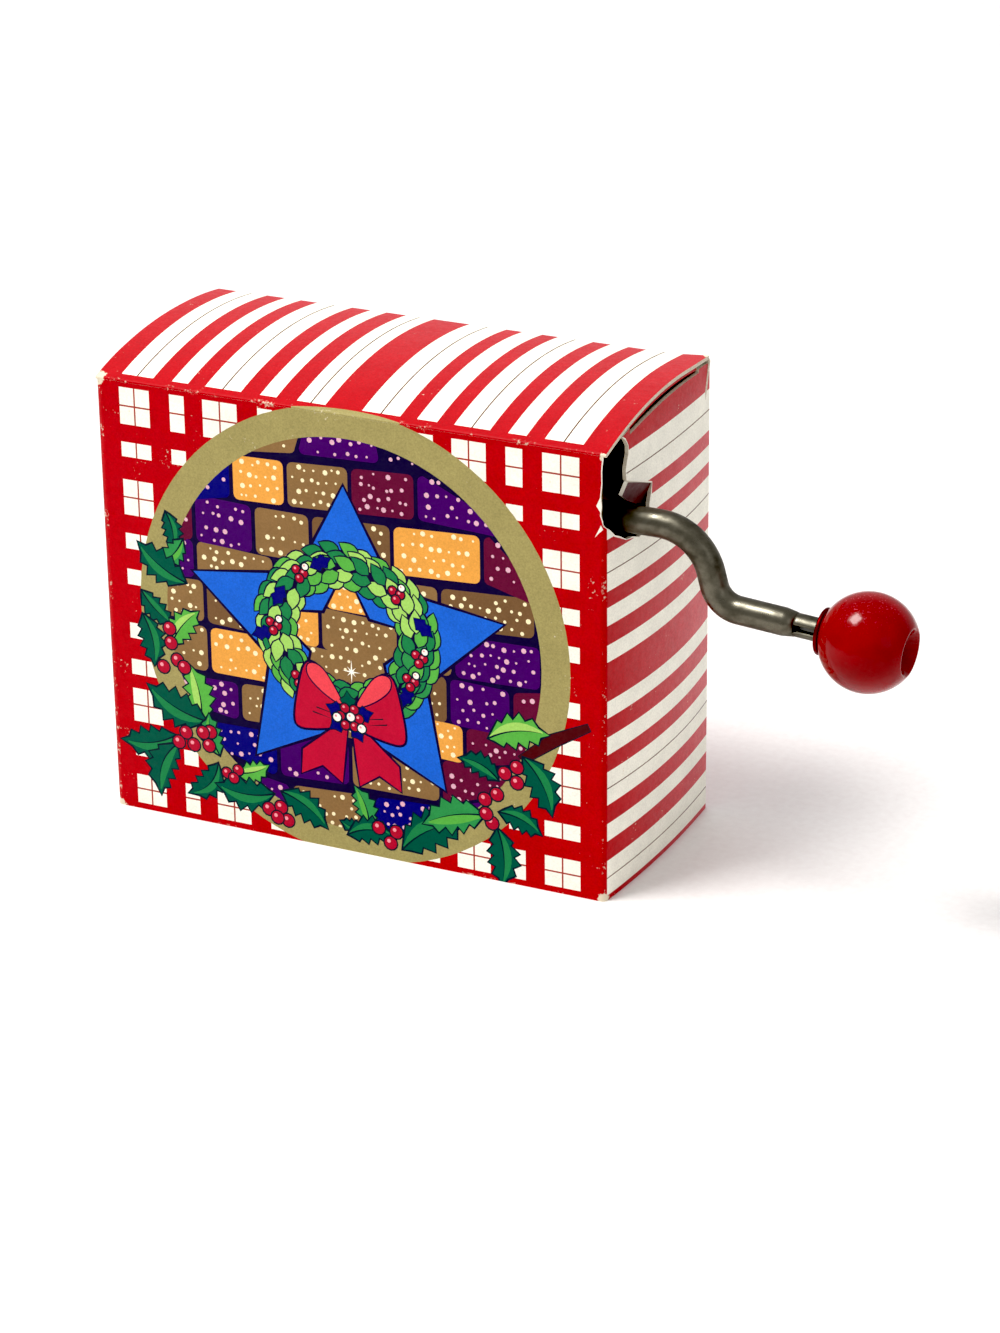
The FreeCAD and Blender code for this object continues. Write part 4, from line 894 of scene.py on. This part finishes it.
# flat inks of the picture and the lines; red, white, gold and blue come from the settings
PALETTE = {
    "thin_line": "9C3A30", "side_line": "5E3A2C", "outline": "120A33", "ink_line": "0A1A2A",
    "leaf_dark": "04503E", "leaf_mid": "1E7A45", "leaf_green": "2E8A48", "leaf_light": "55A843",
    "leaf_pale": "9CCB62", "berry": "A8142E", "berry_light": "E8909A", "spark": "FFF8E8",
    "dot": "F3E4B8", "dot_dim": "D9A8B8", "maroon": "5F1232", "purple": "40085F", "navy": "0A0A6E",
    "tan": "84653F", "brown": "6F5134", "amber": "DE9A45", "bow": "B51533", "bow_light": "E0454F",
    "twig": "4A0F14", "torn": "EFE9DA",
}
SET_INKS = ("red", "cream", "gold", "star")
INK_NAMES = [*SET_INKS, *PALETTE]


def ink_materials(settings):
    """One printed material per ink, with the raw board last; ones already made are used again."""
    made = []
    for name in INK_NAMES:
        colour = tuple(getattr(settings, name)) if name in SET_INKS else linear(PALETTE[name])
        strong = 0.16 if name in ("gold", "star", "red") else 0.1
        # the red ink alone takes the paler red, a painted sheen towards the back
        made.append(bpy.data.materials.get("print_" + name)
                    or ink("print_" + name, colour, strong, name in ("red", "cream", "gold"),
                           tuple(settings.painted_sheen) if name == "red" else None))
    made.append(bpy.data.materials.get("greyboard") or raw_board())
    return made


class MUSICBOX_OT_sleeve(bpy.types.Operator):
    """Folds the printed board into the four walls, with the torn opening for the crank"""
    bl_idname = "musicbox.sleeve"
    bl_label = "Printed sleeve"

    def execute(self, context):
        settings = context.scene.musicbox_carton
        corner, crown = settings.corner / MM, settings.crown / MM
        right, back, left = WIDTH, WIDTH + DEPTH, 2 * WIDTH + DEPTH
        end = left + DEPTH
        art = Print()
        fine = np.linspace(-corner, corner, 7)
        wide, narrow = np.array([12, 25, 38]), np.arange(1.5, DEPTH - 1, 1.5)
        across = np.unique(np.round(np.concatenate([
            [0], wide, back + wide, right + narrow, left + narrow,
            fine[3:], right + fine, back + fine, left + fine, end + fine[:4]]), 4))
        cells(across, np.linspace(0, BACK_TOP, 23), art, "red")
        add_gingham(art, 0)
        front_margin, back_margin = 0.35, 0.3
        add_side_stripes(art, right + front_margin, back - back_margin)
        add_gingham(art, back, mirrored=True)
        add_side_stripes(art, left + back_margin, end - front_margin)
        add_picture(art, settings.ring / MM, settings.ring_width / MM)
        self.cut_opening(art, right)
        self.cut_top(art, right, back, left, end, crown)
        flat, faces, slots = art.sheet(INK_NAMES)
        points = sleeve_point(flat[:, 0], flat[:, 1], corner)
        step = 0.01
        across = (sleeve_point(flat[:, 0] + step, flat[:, 1], corner)
                  - sleeve_point(flat[:, 0] - step, flat[:, 1], corner))
        normals = np.cross(across, [0, 0, 1])
        normals /= np.linalg.norm(normals, axis=1)[:, None]
        points, faces, slots = board_shell(points, points - BOARD * normals, faces, slots, len(INK_NAMES))
        more, quads, marks = self.tab()
        points, faces = joined(points, faces, more, quads)
        slots = slots + marks
        item = add_object("printed_sleeve", points, faces, ink_materials(settings), slots, smooth=False)
        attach(item, "carton")
        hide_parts("front_panel", "right_panel", "back_panel", "left_panel")
        return {"FINISHED"}

    def tab(self):
        """The torn tab folded into the crank's hole: straight lines from its fold to its ragged end. Its
        printed side is dark red, a painted shade for the shadow inside the hole.
        """
        fold = np.array([(25.45, -7.55, 38.5), (25.5, -6.0, 38.0), (25.5, -4.4, 37.45), (25.5, -2.85, 36.9)])
        ragged = fold + [(-0.7, 0.3, -1.5), (-0.9, 0.1, -1.9), (-0.8, 0.0, -2.1), (-0.6, 0.0, -2.0)]
        share = np.linspace(0, 1, 4)[:, None, None]
        outer = (fold * (1 - share) + ragged * share).reshape(-1, 3)
        faces = halves(grid_faces(4, 4)[:, ::-1])
        inner = outer - np.array([0.85, 0.2, -0.4]) * BOARD
        # painted shade: the tab's print takes the dark twig ink for the shadow inside the hole
        painted_shade_print = np.full(len(faces), INK_NAMES.index("twig"))
        return board_shell(outer, inner, faces, painted_shade_print, INK_NAMES.index("torn"))

    def cut_opening(self, art, right):
        """The crank's hole and the slit above it, with a torn white rim: the hole's outline grown a little
        and moved at random, and two flakes at the front corner."""
        hole = np.array([
            (-0.05, 35.6), (0.8, 35.1), (1.7, 34.3), (2.6, 33.9), (3.6, 33.3), (4.7, 33.2), (5.8, 32.8),
            (6.7, 32.9), (7.5, 32.6), (7.7, 33.9), (7.9, 35.2), (8.3, 36.1), (8.5, 36.9), (6.8, 37.5),
            (5.2, 38.1), (3.8, 38.6), (3.7, 39.5), (3.95, 40.2), (4.3, 40.9), (4.3, 41.6), (3.8, 42.3),
            (2.9, 42.9), (2.3, 43.4), (1.9, 44.5), (-0.05, 44.5), (-0.05, 41.7), (-0.2, 40.6), (-0.18, 39.4),
            (-0.35, 38.3), (-0.22, 37.4), (-0.38, 36.6), (-0.12, 36.1)]) + (right, 0)
        chance = np.random.default_rng(5)
        art.add("torn", grow(hole, 0.1) + chance.uniform(-0.07, 0.07, hole.shape))
        for flake in (((-0.1, 36.4), (-0.8, 37.4), (-0.45, 38.2), (-0.2, 38.6)),
                      ((-0.1, 35.3), (-0.5, 35.0), (-0.95, 34.5), (-0.35, 35.7))):
            art.add("torn", np.array(flake) + (right, 0))
        art.add(None, hole)

    def cut_top(self, art, right, back, left, end, crown):
        """Trims the walls at the floor and just under the lid: straight at the front, along the crown at the
        sides. Over a dust flap's length a side wall is lower, by the flap's board and by the dip of a point
        that turns with the flap: its rise times one minus the cosine, plus how proud it is times the sine."""
        above, room = BACK_TOP + 3, 0.1
        art.add(None, rectangle(-1, end + 1, -2, 0))
        y = np.sort(np.concatenate([np.linspace(-DEPTH / 2, DEPTH / 2, 13),
                                    np.repeat([FLAP_LOW[1] - room, FLAP_HIGH[1] + room], 2)]))
        notch = (y > FLAP_LOW[1] - room) & (y < FLAP_HIGH[1] + room)
        twin = y[:-1] == y[1:]
        notch |= np.append(twin, False) & (y > 0) | np.append(False, twin) & (y < 0)
        proud = flap_proud(y, crown)
        rise = np.maximum(lid_curve(y, crown) - 1.5 * BOARD - SLIT - flap_axis(y), 0)
        dip = rise * (1 - math.cos(FLAP_TURN)) + proud * math.sin(FLAP_TURN)
        drop = np.where(notch, 2 * BOARD + 2 * SLIT + dip, BOARD + SLIT)
        front_top = HINGE[2] - 0.05
        under = np.clip(lid_curve(np.maximum(y, HINGE[1]), crown) - drop, front_top, BACK_TOP)
        art.add(None, rectangle(-1, right, front_top, above))
        for start, stop, edge in ((right, back, under), (left, end, under[::-1])):
            line = np.stack([start + y + DEPTH / 2, edge], 1)
            art.add(None, np.vstack([line, [(stop, above), (start, above)]]))


class MUSICBOX_OT_lid(bpy.types.Operator):
    """Bends the striped lid over its front fold, its crown, its back fold and the tuck flap"""
    bl_idname = "musicbox.lid"
    bl_label = "Lid"

    def execute(self, context):
        settings = context.scene.musicbox_carton
        crown = settings.crown / MM
        profile = self.profile(crown)
        length = run_length(profile)
        fold, back = length[self.NOSE - 1], length[-self.TUCK - 1]
        wide = LID_HIGH[0] - LID_LOW[0]
        art = Print()
        cells(np.linspace(0, wide, 9), np.unique(np.round(length, 4)), art, "red")
        shift = (wide - WIDTH) / 2
        margin, wider = 0.75, 0.15
        for x0, x1, two in COLUMNS:
            x0, x1 = x0 - wider + shift, x1 + shift
            art.add("cream", rectangle(x0, x1, fold + margin, length[-1]))
            if two:
                middle = (x0 + x1) / 2
                art.add("side_line",
                        rectangle(middle - LID_LINE / 2, middle + LID_LINE / 2, fold + margin, back))
        ring = settings.ring / MM
        reach = math.sqrt(ring ** 2 - (HINGE[2] - RING_Z) ** 2)
        turn = np.linspace(-reach, reach, 25)
        rise = np.sqrt(np.maximum(ring ** 2 - turn ** 2, 0)) + RING_Z - HINGE[2] + fold * 0.75
        art.add("gold", np.vstack([np.stack([turn + RING_X + shift, rise], 1),
                                   [(RING_X + reach + shift, 0), (RING_X - reach + shift, 0)]]))
        flat, faces, slots = art.sheet(INK_NAMES)
        sides = []
        for line in (profile, self.inside(profile)):
            points = np.stack([flat[:, 0] - wide / 2, np.interp(flat[:, 1], length, line[:, 0]),
                               np.interp(flat[:, 1], length, line[:, 1])], 1)
            sides.append(self.handled(points, flat[:, 1] < back))
        points, faces, slots = board_shell(*sides, faces, slots, len(INK_NAMES))
        item = add_object("printed_lid", points, faces, ink_materials(settings), slots, smooth=False)
        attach(item, "lid")
        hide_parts("lid_panel", "lid_tuck_flap")
        return {"FINISHED"}

    NOSE, TUCK = 9, 7        # points of the profile in its front fold, and in its back fold and tuck flap

    def profile(self, crown):
        """The lid's outer line in depth and height: a half circle, an arc, a small round and a straight."""
        fold, flat_start = 0.35, 0.3     # radius of the back fold; depth at which the arc starts
        nose = round_points(np.radians(np.linspace(270, 94, self.NOSE)), BOARD / 2) + HINGE[1:]
        edge = BACK_LOW[1] - SLIT - fold
        y = np.linspace(HINGE[1] + flat_start, edge, 28)
        arc = np.stack([y, lid_curve(y, crown)], 1)
        bend = np.radians(np.linspace(80, -10, self.TUCK - 1))
        back = round_points(bend, fold) + (edge, lid_curve(edge, crown) - fold)
        tuck_low = corners("lid_tuck_flap")[0]
        return np.vstack([nose, arc, back, [(tuck_low[1] + BOARD, tuck_low[2])]])

    def handled(self, points, on_top):
        """Bends the lid as handling has: its right rear corner rises, and its left edge stands out at the
        front, each by 0.3 mm times the square of the nearness to that edge."""
        x, y = points[:, 0].copy(), points[:, 1]
        corner = np.clip((x - 19.5) / 5.5, 0, 1) * np.clip((y - 6) / 4.5, 0, 1)
        points[:, 2] += np.where(on_top, 0.3 * corner ** 2, 0)
        points[:, 0] -= 0.3 * np.clip((4 - y) / 12, 0, 1) * np.clip((-x - 23.5) / 1.6, 0, 1) ** 2
        return points

    def inside(self, profile):
        """The same line a board's thickness further in; round the nose it stays at the nose's foot."""
        along = np.gradient(profile, axis=0)
        along /= np.linalg.norm(along, axis=1)[:, None]
        inner = profile - BOARD * np.stack([-along[:, 1], along[:, 0]], 1)
        inner[:self.NOSE] = profile[0]
        return inner


class MUSICBOX_OT_closures(bpy.types.Operator):
    """Gives the folded flaps inside the carton and its bottom their board"""
    bl_idname = "musicbox.closures"
    bl_label = "Flaps and bottom"

    def execute(self, context):
        settings = context.scene.musicbox_carton
        board = bpy.data.materials.get("greyboard") or raw_board()
        for name in ("glue_seam_flap", "bottom_tuck_flap", "bottom_dust_flap_left",
                     "bottom_dust_flap_right"):
            finish_node(name, board)
        for side, name in ((-1, "left"), (1, "right")):
            self.dust_flap(settings, side, name)
        finish_node("bottom_panel", ink("print_base", tuple(settings.red), 0.16))
        return {"FINISHED"}

    def dust_flap(self, settings, side, name):
        """A flap under the lid: a half circle at its fold and a straight run inwards, which follow the
        lid's crown from front to back."""
        radius = BOARD / 2
        nose = round_points(np.radians(np.linspace(270, 90, 7)), radius) - (0, radius)
        length = FLAP_HIGH[0] - FLAP_LOW[0] - radius
        outer = np.vstack([nose, [(length, 0)]])
        inner = np.vstack([np.repeat(nose[:1], len(nose), 0), [(length, -BOARD)]])
        depth = np.linspace(FLAP_LOW[1], FLAP_HIGH[1], 9)
        crown = lid_curve(depth, settings.crown / MM) - BOARD - SLIT
        fold = side * (FLAP_HIGH[0] - radius + flap_proud(depth, settings.crown / MM))[:, None]
        sheets = []
        for line in (outer, inner):
            a, y = np.meshgrid(line[:, 0], depth)
            b, z = np.meshgrid(line[:, 1], crown)
            sheets.append(np.stack([fold - side * a, y, z + b], -1).reshape(-1, 3))
        faces = halves(grid_faces(len(depth), len(outer)))[:, ::side]
        points, faces, slots = board_shell(*sheets, faces, np.zeros(len(faces), int), 1)
        boards = [bpy.data.materials["print_red"], bpy.data.materials["greyboard"]]
        item = add_object(name + "_dust_flap", points, faces, boards, slots, smooth=False)
        mend(item)
        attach(item, name + "_flap")
        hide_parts("top_dust_flap_" + name)


def finish_node(name, material):
    """Gives a CAD node its material."""
    item = frame["nodes"][name]
    if not item.material_slots:
        item.data.materials.append(material)
    for slot in item.material_slots:
        slot.material = material


# ---- crank and knob ---------------------------------------------------------------------------------

def crank_path(settings):
    """The wire's middle line: straight runs joined by tangent arcs, in the plane of the shaft.

    An arc's centre lies on the line that halves the bend, at the radius over the sine of half its angle; its
    points are the start's and the end's directions, mixed by the sines of the turns left and made."""
    arm_run = 1.78                       # the arm leans this far to the right on its way down
    shaft = SHAFT.copy()
    shaft[0] = corners("crank_wire")[0][0]
    arm_top = np.array([GRIP[0] - arm_run, SHAFT[1], SHAFT[2]])
    spots = [shaft, arm_top, GRIP, GRIP + GRIP_WAY * SHOULDER]
    path = [spots[0]]
    for number, radius in ((1, settings.arm_bend / MM), (2, settings.grip_bend / MM)):
        before = spots[number - 1] - spots[number]
        after = spots[number + 1] - spots[number]
        before, after = before / np.linalg.norm(before), after / np.linalg.norm(after)
        half = np.arccos(np.clip(before @ after, -1, 1)) / 2
        middle = (before + after) / np.linalg.norm(before + after)
        centre = spots[number] + middle * radius / math.sin(half)
        first = spots[number] + before * radius / math.tan(half) - centre
        last = spots[number] + after * radius / math.tan(half) - centre
        reach = np.arccos(np.clip(first @ last / radius ** 2, -1, 1))
        step = np.linspace(0, 1, 18)[:, None]
        arc = (np.sin((1 - step) * reach) * first + np.sin(step * reach) * last) / math.sin(reach)
        path.extend(centre + arc)
    path.append(spots[-1])
    return np.array(path)


def ease(path, gap=0.9):
    """Adds points on the long straight runs, about a gap in millimetres apart."""
    made = [path[0]]
    for a, b in zip(path[:-1], path[1:]):
        count = max(1, int(np.linalg.norm(b - a) / gap))
        made.extend(a + (b - a) * step for step in np.linspace(0, 1, count + 1)[1:])
    return np.array(made)


class MUSICBOX_OT_crank(bpy.types.Operator):
    """Bends the wire crank and splits its end into two prongs"""
    bl_idname = "musicbox.crank"
    bl_label = "Crank"

    def execute(self, context):
        settings = context.scene.musicbox_crank
        radius = settings.wire / MM / 2
        path = ease(crank_path(settings))
        along = run_length(path)
        rounding = np.interp(along, [0, 0.3, along[-1] - 0.25, along[-1]], [0.8, 1, 1, 0.86])
        outline = circle(radius, 40)[None] * rounding[:, None, None]
        points, faces = closed_tube(path, outline)
        for side in (-1, 1):
            points, faces = joined(points, faces, *self.prong(side))
        wire = metal("tarnished_nickel_wire", tuple(settings.nickel), "27251E", 0.3, 0.5, (0.35, 1, 1), 0.8)
        item = add_object("bent_crank", points, faces, [wire])
        mend(item)
        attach(item, "crank")
        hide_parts("crank_wire")
        return {"FINISHED"}

    def prong(self, side):
        """One half of the split end: a circle's segment above or below the slit, along the grip."""
        flat, radius = 0.35, 1.05
        reach = math.acos(flat / radius)
        segment = round_points(np.linspace(-reach, reach, 13), radius)[:, ::-1] * (1, side)
        start, end = (GRIP + GRIP_WAY * along for along in PRONGS)
        path = start + (end - start) * np.linspace(0, 1, 20)[:, None]
        return closed_tube(path, segment)


class MUSICBOX_OT_knob(bpy.types.Operator):
    """Turns the ball knob with its flats and countersink, and the eyelet that lines it"""
    bl_idname = "musicbox.knob"
    bl_label = "Knob"

    def execute(self, context):
        settings = context.scene.musicbox_crank
        radius = (KNOB_HIGH[1] - KNOB_LOW[1]) / 2
        near_flat, far_flat = 0.9, 0.866         # where the ball's flats cut it, in radii from its centre
        bore, tube, deep = 1.32, 1.3, 1.3        # radii of the ball's bore and the eyelet; the sink's depth
        roll = 0.2                               # radius of the eyelet's rolled rim
        start = FLANGE + 2 * roll
        centre = start + near_flat * radius
        end = centre + far_flat * radius
        ball = round_points(np.linspace(math.acos(-near_flat), math.acos(far_flat), 44), radius) + (centre, 0)
        sink = [(end - 0.02, 2.05), (end - 0.18, 1.9), (end - 0.75, 1.65), (end - deep, bore), (start, bore)]
        points, faces = turned(np.vstack([ball, sink]), GRIP, GRIP_WAY)
        item = add_object("ball_knob", points, faces, [lacquer(tuple(settings.knob))])
        mend(item)
        bevel(item, 0.1, 3, 35)
        self.attach(item, "knob_ball", "knob_red")
        rim = round_points(np.linspace(np.pi, -np.pi / 2 + 0.2, 10), roll) + (FLANGE + roll, 1.9)
        inner = tube - 0.2
        rest = [(start, tube), (end - deep, tube), (end - deep, inner), (FLANGE + 0.1, inner), (FLANGE, 1.25)]
        points, faces = turned(np.vstack([rim, rest]), GRIP, GRIP_WAY, 64)
        paint = metal("eyelet_lacquer", linear("7A0C16"), "34060A", 0.3, 0.5, tarnish=0.6)
        item = add_object("knob_liner", points, faces, [paint])
        mend(item)
        self.attach(item, "knob_eyelet", "eyelet_red")
        return {"FINISHED"}

    def attach(self, item, name, slot):
        """Puts a piece on the knob's body in a CAD node's place."""
        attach(item, "knob")
        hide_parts(name)


# ---- movement ---------------------------------------------------------------------------------------

class MUSICBOX_OT_movement(bpy.types.Operator):
    """Gives the movement inside the carton its plated, cast, turned and ground metals"""
    bl_idname = "musicbox.movement"
    bl_label = "Movement"

    def execute(self, context):
        plated = metal("nickel_plated_steel", linear("B9B6AA"), "7C776A", 0.32, 0.5, (1, 4, 1), 0.4)
        brass = metal("turned_brass", linear("C79A4B"), "7E5E2A", 0.28, 0.3, (1, 1, 6), 0.45)
        screw = metal("turned_steel", linear("8F9192"), "5B5C5D", 0.3, 0.25, tarnish=0.3)
        finishes = {
            plated: ("bed_plate", "upper_cylinder_bracket", "lower_cylinder_bracket",
                     "inner_crank_bracket", "outer_crank_bracket"),
            brass: ("cylinder_tube", "upper_end_cap", "lower_end_cap", "worm_wheel", "worm",
                    "thrust_collar"),
            screw: ("comb_screws", "cylinder_arbor", "arbor_clip", "crank_clip", "cylinder_pins"),
            metal("oiled_bronze", linear("A2733F"), "5C3F22", 0.35, 0.3, tarnish=0.5):
                ("inner_crank_bush", "outer_crank_bush"),
            metal("ground_comb_steel", linear("A6ABB0"), "70757B", 0.22, 0.2, (0.2, 1, 3), 0.25):
                ("steel_comb",),
            metal("cast_zinc", linear("93938F"), "6B6B68", 0.55, 0.6, tarnish=0.6): ("comb_pedestal",),
            metal("cast_lead", linear("5C5F63"), "3A3C3F", 0.6, 0.4, tarnish=0.7): ("lead_weights",),
            foam(): ("adhesive_pad",),
        }
        for material, names in finishes.items():
            for name in names:
                finish_node(name, material)
        return {"FINISHED"}


# ---- stage ------------------------------------------------------------------------------------------

# soft lights: name, place and aim in metres, side, power in watts, colour, and whether gloss shows it
LIGHTS = (("window", (-0.14, -0.15, 0.46), (0, 0, 0.02), 0.18, 2.5, (1.0, 0.99, 0.97), True),
          ("backdrop", (-0.26, 0.55, 0.60), (-0.26, 0.60, 0.0), 0.5, 1.6, (1, 1, 1), False),
          ("right_fill", (0.50, -0.25, 0.20), (0.02, 0, 0.02), 0.3, 0.2, (0.97, 0.98, 1.0), True))
FLOOR_REACH = 3000
ROOM_LIGHT = 0.62
BLACK_LEVEL = 0.026      # deepens the darkest tones a little


def add_area(name, spot, aim, side, power, colour, in_gloss):
    """A square light that faces its aim."""
    light = bpy.data.lights.new(name, "AREA")
    light.shape = "RECTANGLE"
    light.size = light.size_y = side
    light.energy = power
    light.color = colour
    item = bpy.data.objects.new(name, light)
    item.location = spot
    item.rotation_euler = (Vector(aim) - Vector(spot)).to_track_quat("-Z", "Y").to_euler()
    item.visible_glossy = in_gloss
    bpy.context.scene.collection.objects.link(item)


class MUSICBOX_OT_stage(bpy.types.Operator):
    """Sets the camera, the white floor and the soft window light"""
    bl_idname = "musicbox.stage"
    bl_label = "Stage"

    def execute(self, context):
        scene = context.scene
        self.camera(scene)
        square = rectangle(-FLOOR_REACH, FLOOR_REACH, -FLOOR_REACH, FLOOR_REACH)
        floor = add_object("floor", np.column_stack([square, np.zeros(4)]), [(0, 1, 2, 3)],
                           [self.paper(scene.musicbox_stage.floor)])
        for row in LIGHTS:
            add_area(*row)
        world = bpy.data.worlds.new("studio")
        world.use_nodes = True
        sky = world.node_tree.nodes["Background"].inputs
        sky["Color"].default_value = (1, 1, 1, 1)
        sky["Strength"].default_value = ROOM_LIGHT
        scene.world = world
        view = scene.view_settings
        view.view_transform = "Standard"
        view.use_curve_mapping = True
        view.curve_mapping.black_level = (BLACK_LEVEL,) * 3
        view.curve_mapping.update()
        return {"FINISHED"}

    def camera(self, scene):
        """A long lens from the front right, a little above, with a roll of under a degree.

        Its back is the direction of an azimuth and an elevation; right and up are turned about it by the
        roll, and the camera is moved along them so that the box stands left of the middle."""
        azimuth, elevation, roll = (math.radians(angle) for angle in (26.412, 22.665, -0.6347))
        aim, distance, to_right, down = Vector((0, 0, 21.1)), 380.14, 8.35, 6.52
        back = Vector((math.sin(azimuth) * math.cos(elevation), -math.cos(azimuth) * math.cos(elevation),
                       math.sin(elevation)))
        right = Vector((math.cos(azimuth), math.sin(azimuth), 0))
        up = back.cross(right)
        across = right * math.cos(roll) + up * math.sin(roll)
        upward = up * math.cos(roll) - right * math.sin(roll)
        data = bpy.data.cameras.new("camera")
        data.lens, data.sensor_width = 112.2, 36.0
        data.clip_start, data.clip_end = 0.01, 10
        item = bpy.data.objects.new("camera", data)
        spot = (aim + back * distance + across * to_right - upward * down) * MM
        item.matrix_world = Matrix.Translation(spot) @ Matrix((across, upward, back)).transposed().to_4x4()
        scene.collection.objects.link(item)
        scene.camera = item

    def paper(self, colour):
        """Matt white card with a faint tooth, a noise that tints it and roughens it a little."""
        material, tree, place = start_material("white_card")
        tooth = grain(tree, place, 0.8, 3.0)
        share = node(tree, "MapRange", {VALUE: tooth, LOW: 0.3, HIGH: 0.7})
        tone = node(tree, "Mix", {SHARE: share, FIRST: tuple(colour), SECOND: linear("ECE9E8")}, MIXED,
                    data_type="RGBA")
        surface(tree, tooth, 0.05, 0.05, {"Base Color": tone, "Roughness": 0.8})
        return material


class MUSICBOX_PT_panel(bpy.types.Panel):
    """Lists the steps of the music box"""
    bl_idname = "MUSICBOX_PT_panel"
    bl_label = "Music box"
    bl_space_type = "VIEW_3D"
    bl_region_type = "UI"
    bl_category = "Music box"

    def draw(self, context):
        for step in STEPS:
            self.layout.operator(step.bl_idname)
        for name in GROUPS:
            settings = getattr(context.scene, name)
            for prop in settings.bl_rna.properties:
                if prop.identifier not in {"rna_type", "name"}:
                    self.layout.prop(settings, prop.identifier)


STEPS = (MUSICBOX_OT_sleeve, MUSICBOX_OT_lid, MUSICBOX_OT_closures, MUSICBOX_OT_crank, MUSICBOX_OT_knob,
         MUSICBOX_OT_movement, MUSICBOX_OT_stage)
GROUPS = {"musicbox_carton": MusicBoxCarton, "musicbox_crank": MusicBoxCrank,
          "musicbox_stage": MusicBoxStage}


def register():
    """Registers the classes and puts the settings on the scene."""
    for item in (*GROUPS.values(), *STEPS, MUSICBOX_PT_panel):
        bpy.utils.register_class(item)
    for name, group in GROUPS.items():
        setattr(bpy.types.Scene, name, bpy.props.PointerProperty(type=group))


def unregister():
    """Takes the settings and the classes away again."""
    for name in GROUPS:
        delattr(bpy.types.Scene, name)
    for item in (MUSICBOX_PT_panel, *reversed(STEPS), *GROUPS.values()):
        bpy.utils.unregister_class(item)


def main():
    """Builds the pieces and the stage."""
    register()
    bpy.ops.musicbox.sleeve()
    bpy.ops.musicbox.lid()
    bpy.ops.musicbox.closures()
    bpy.ops.musicbox.crank()
    bpy.ops.musicbox.knob()
    bpy.ops.musicbox.movement()
    bpy.ops.musicbox.stage()


if __name__ == "__main__":
    main()
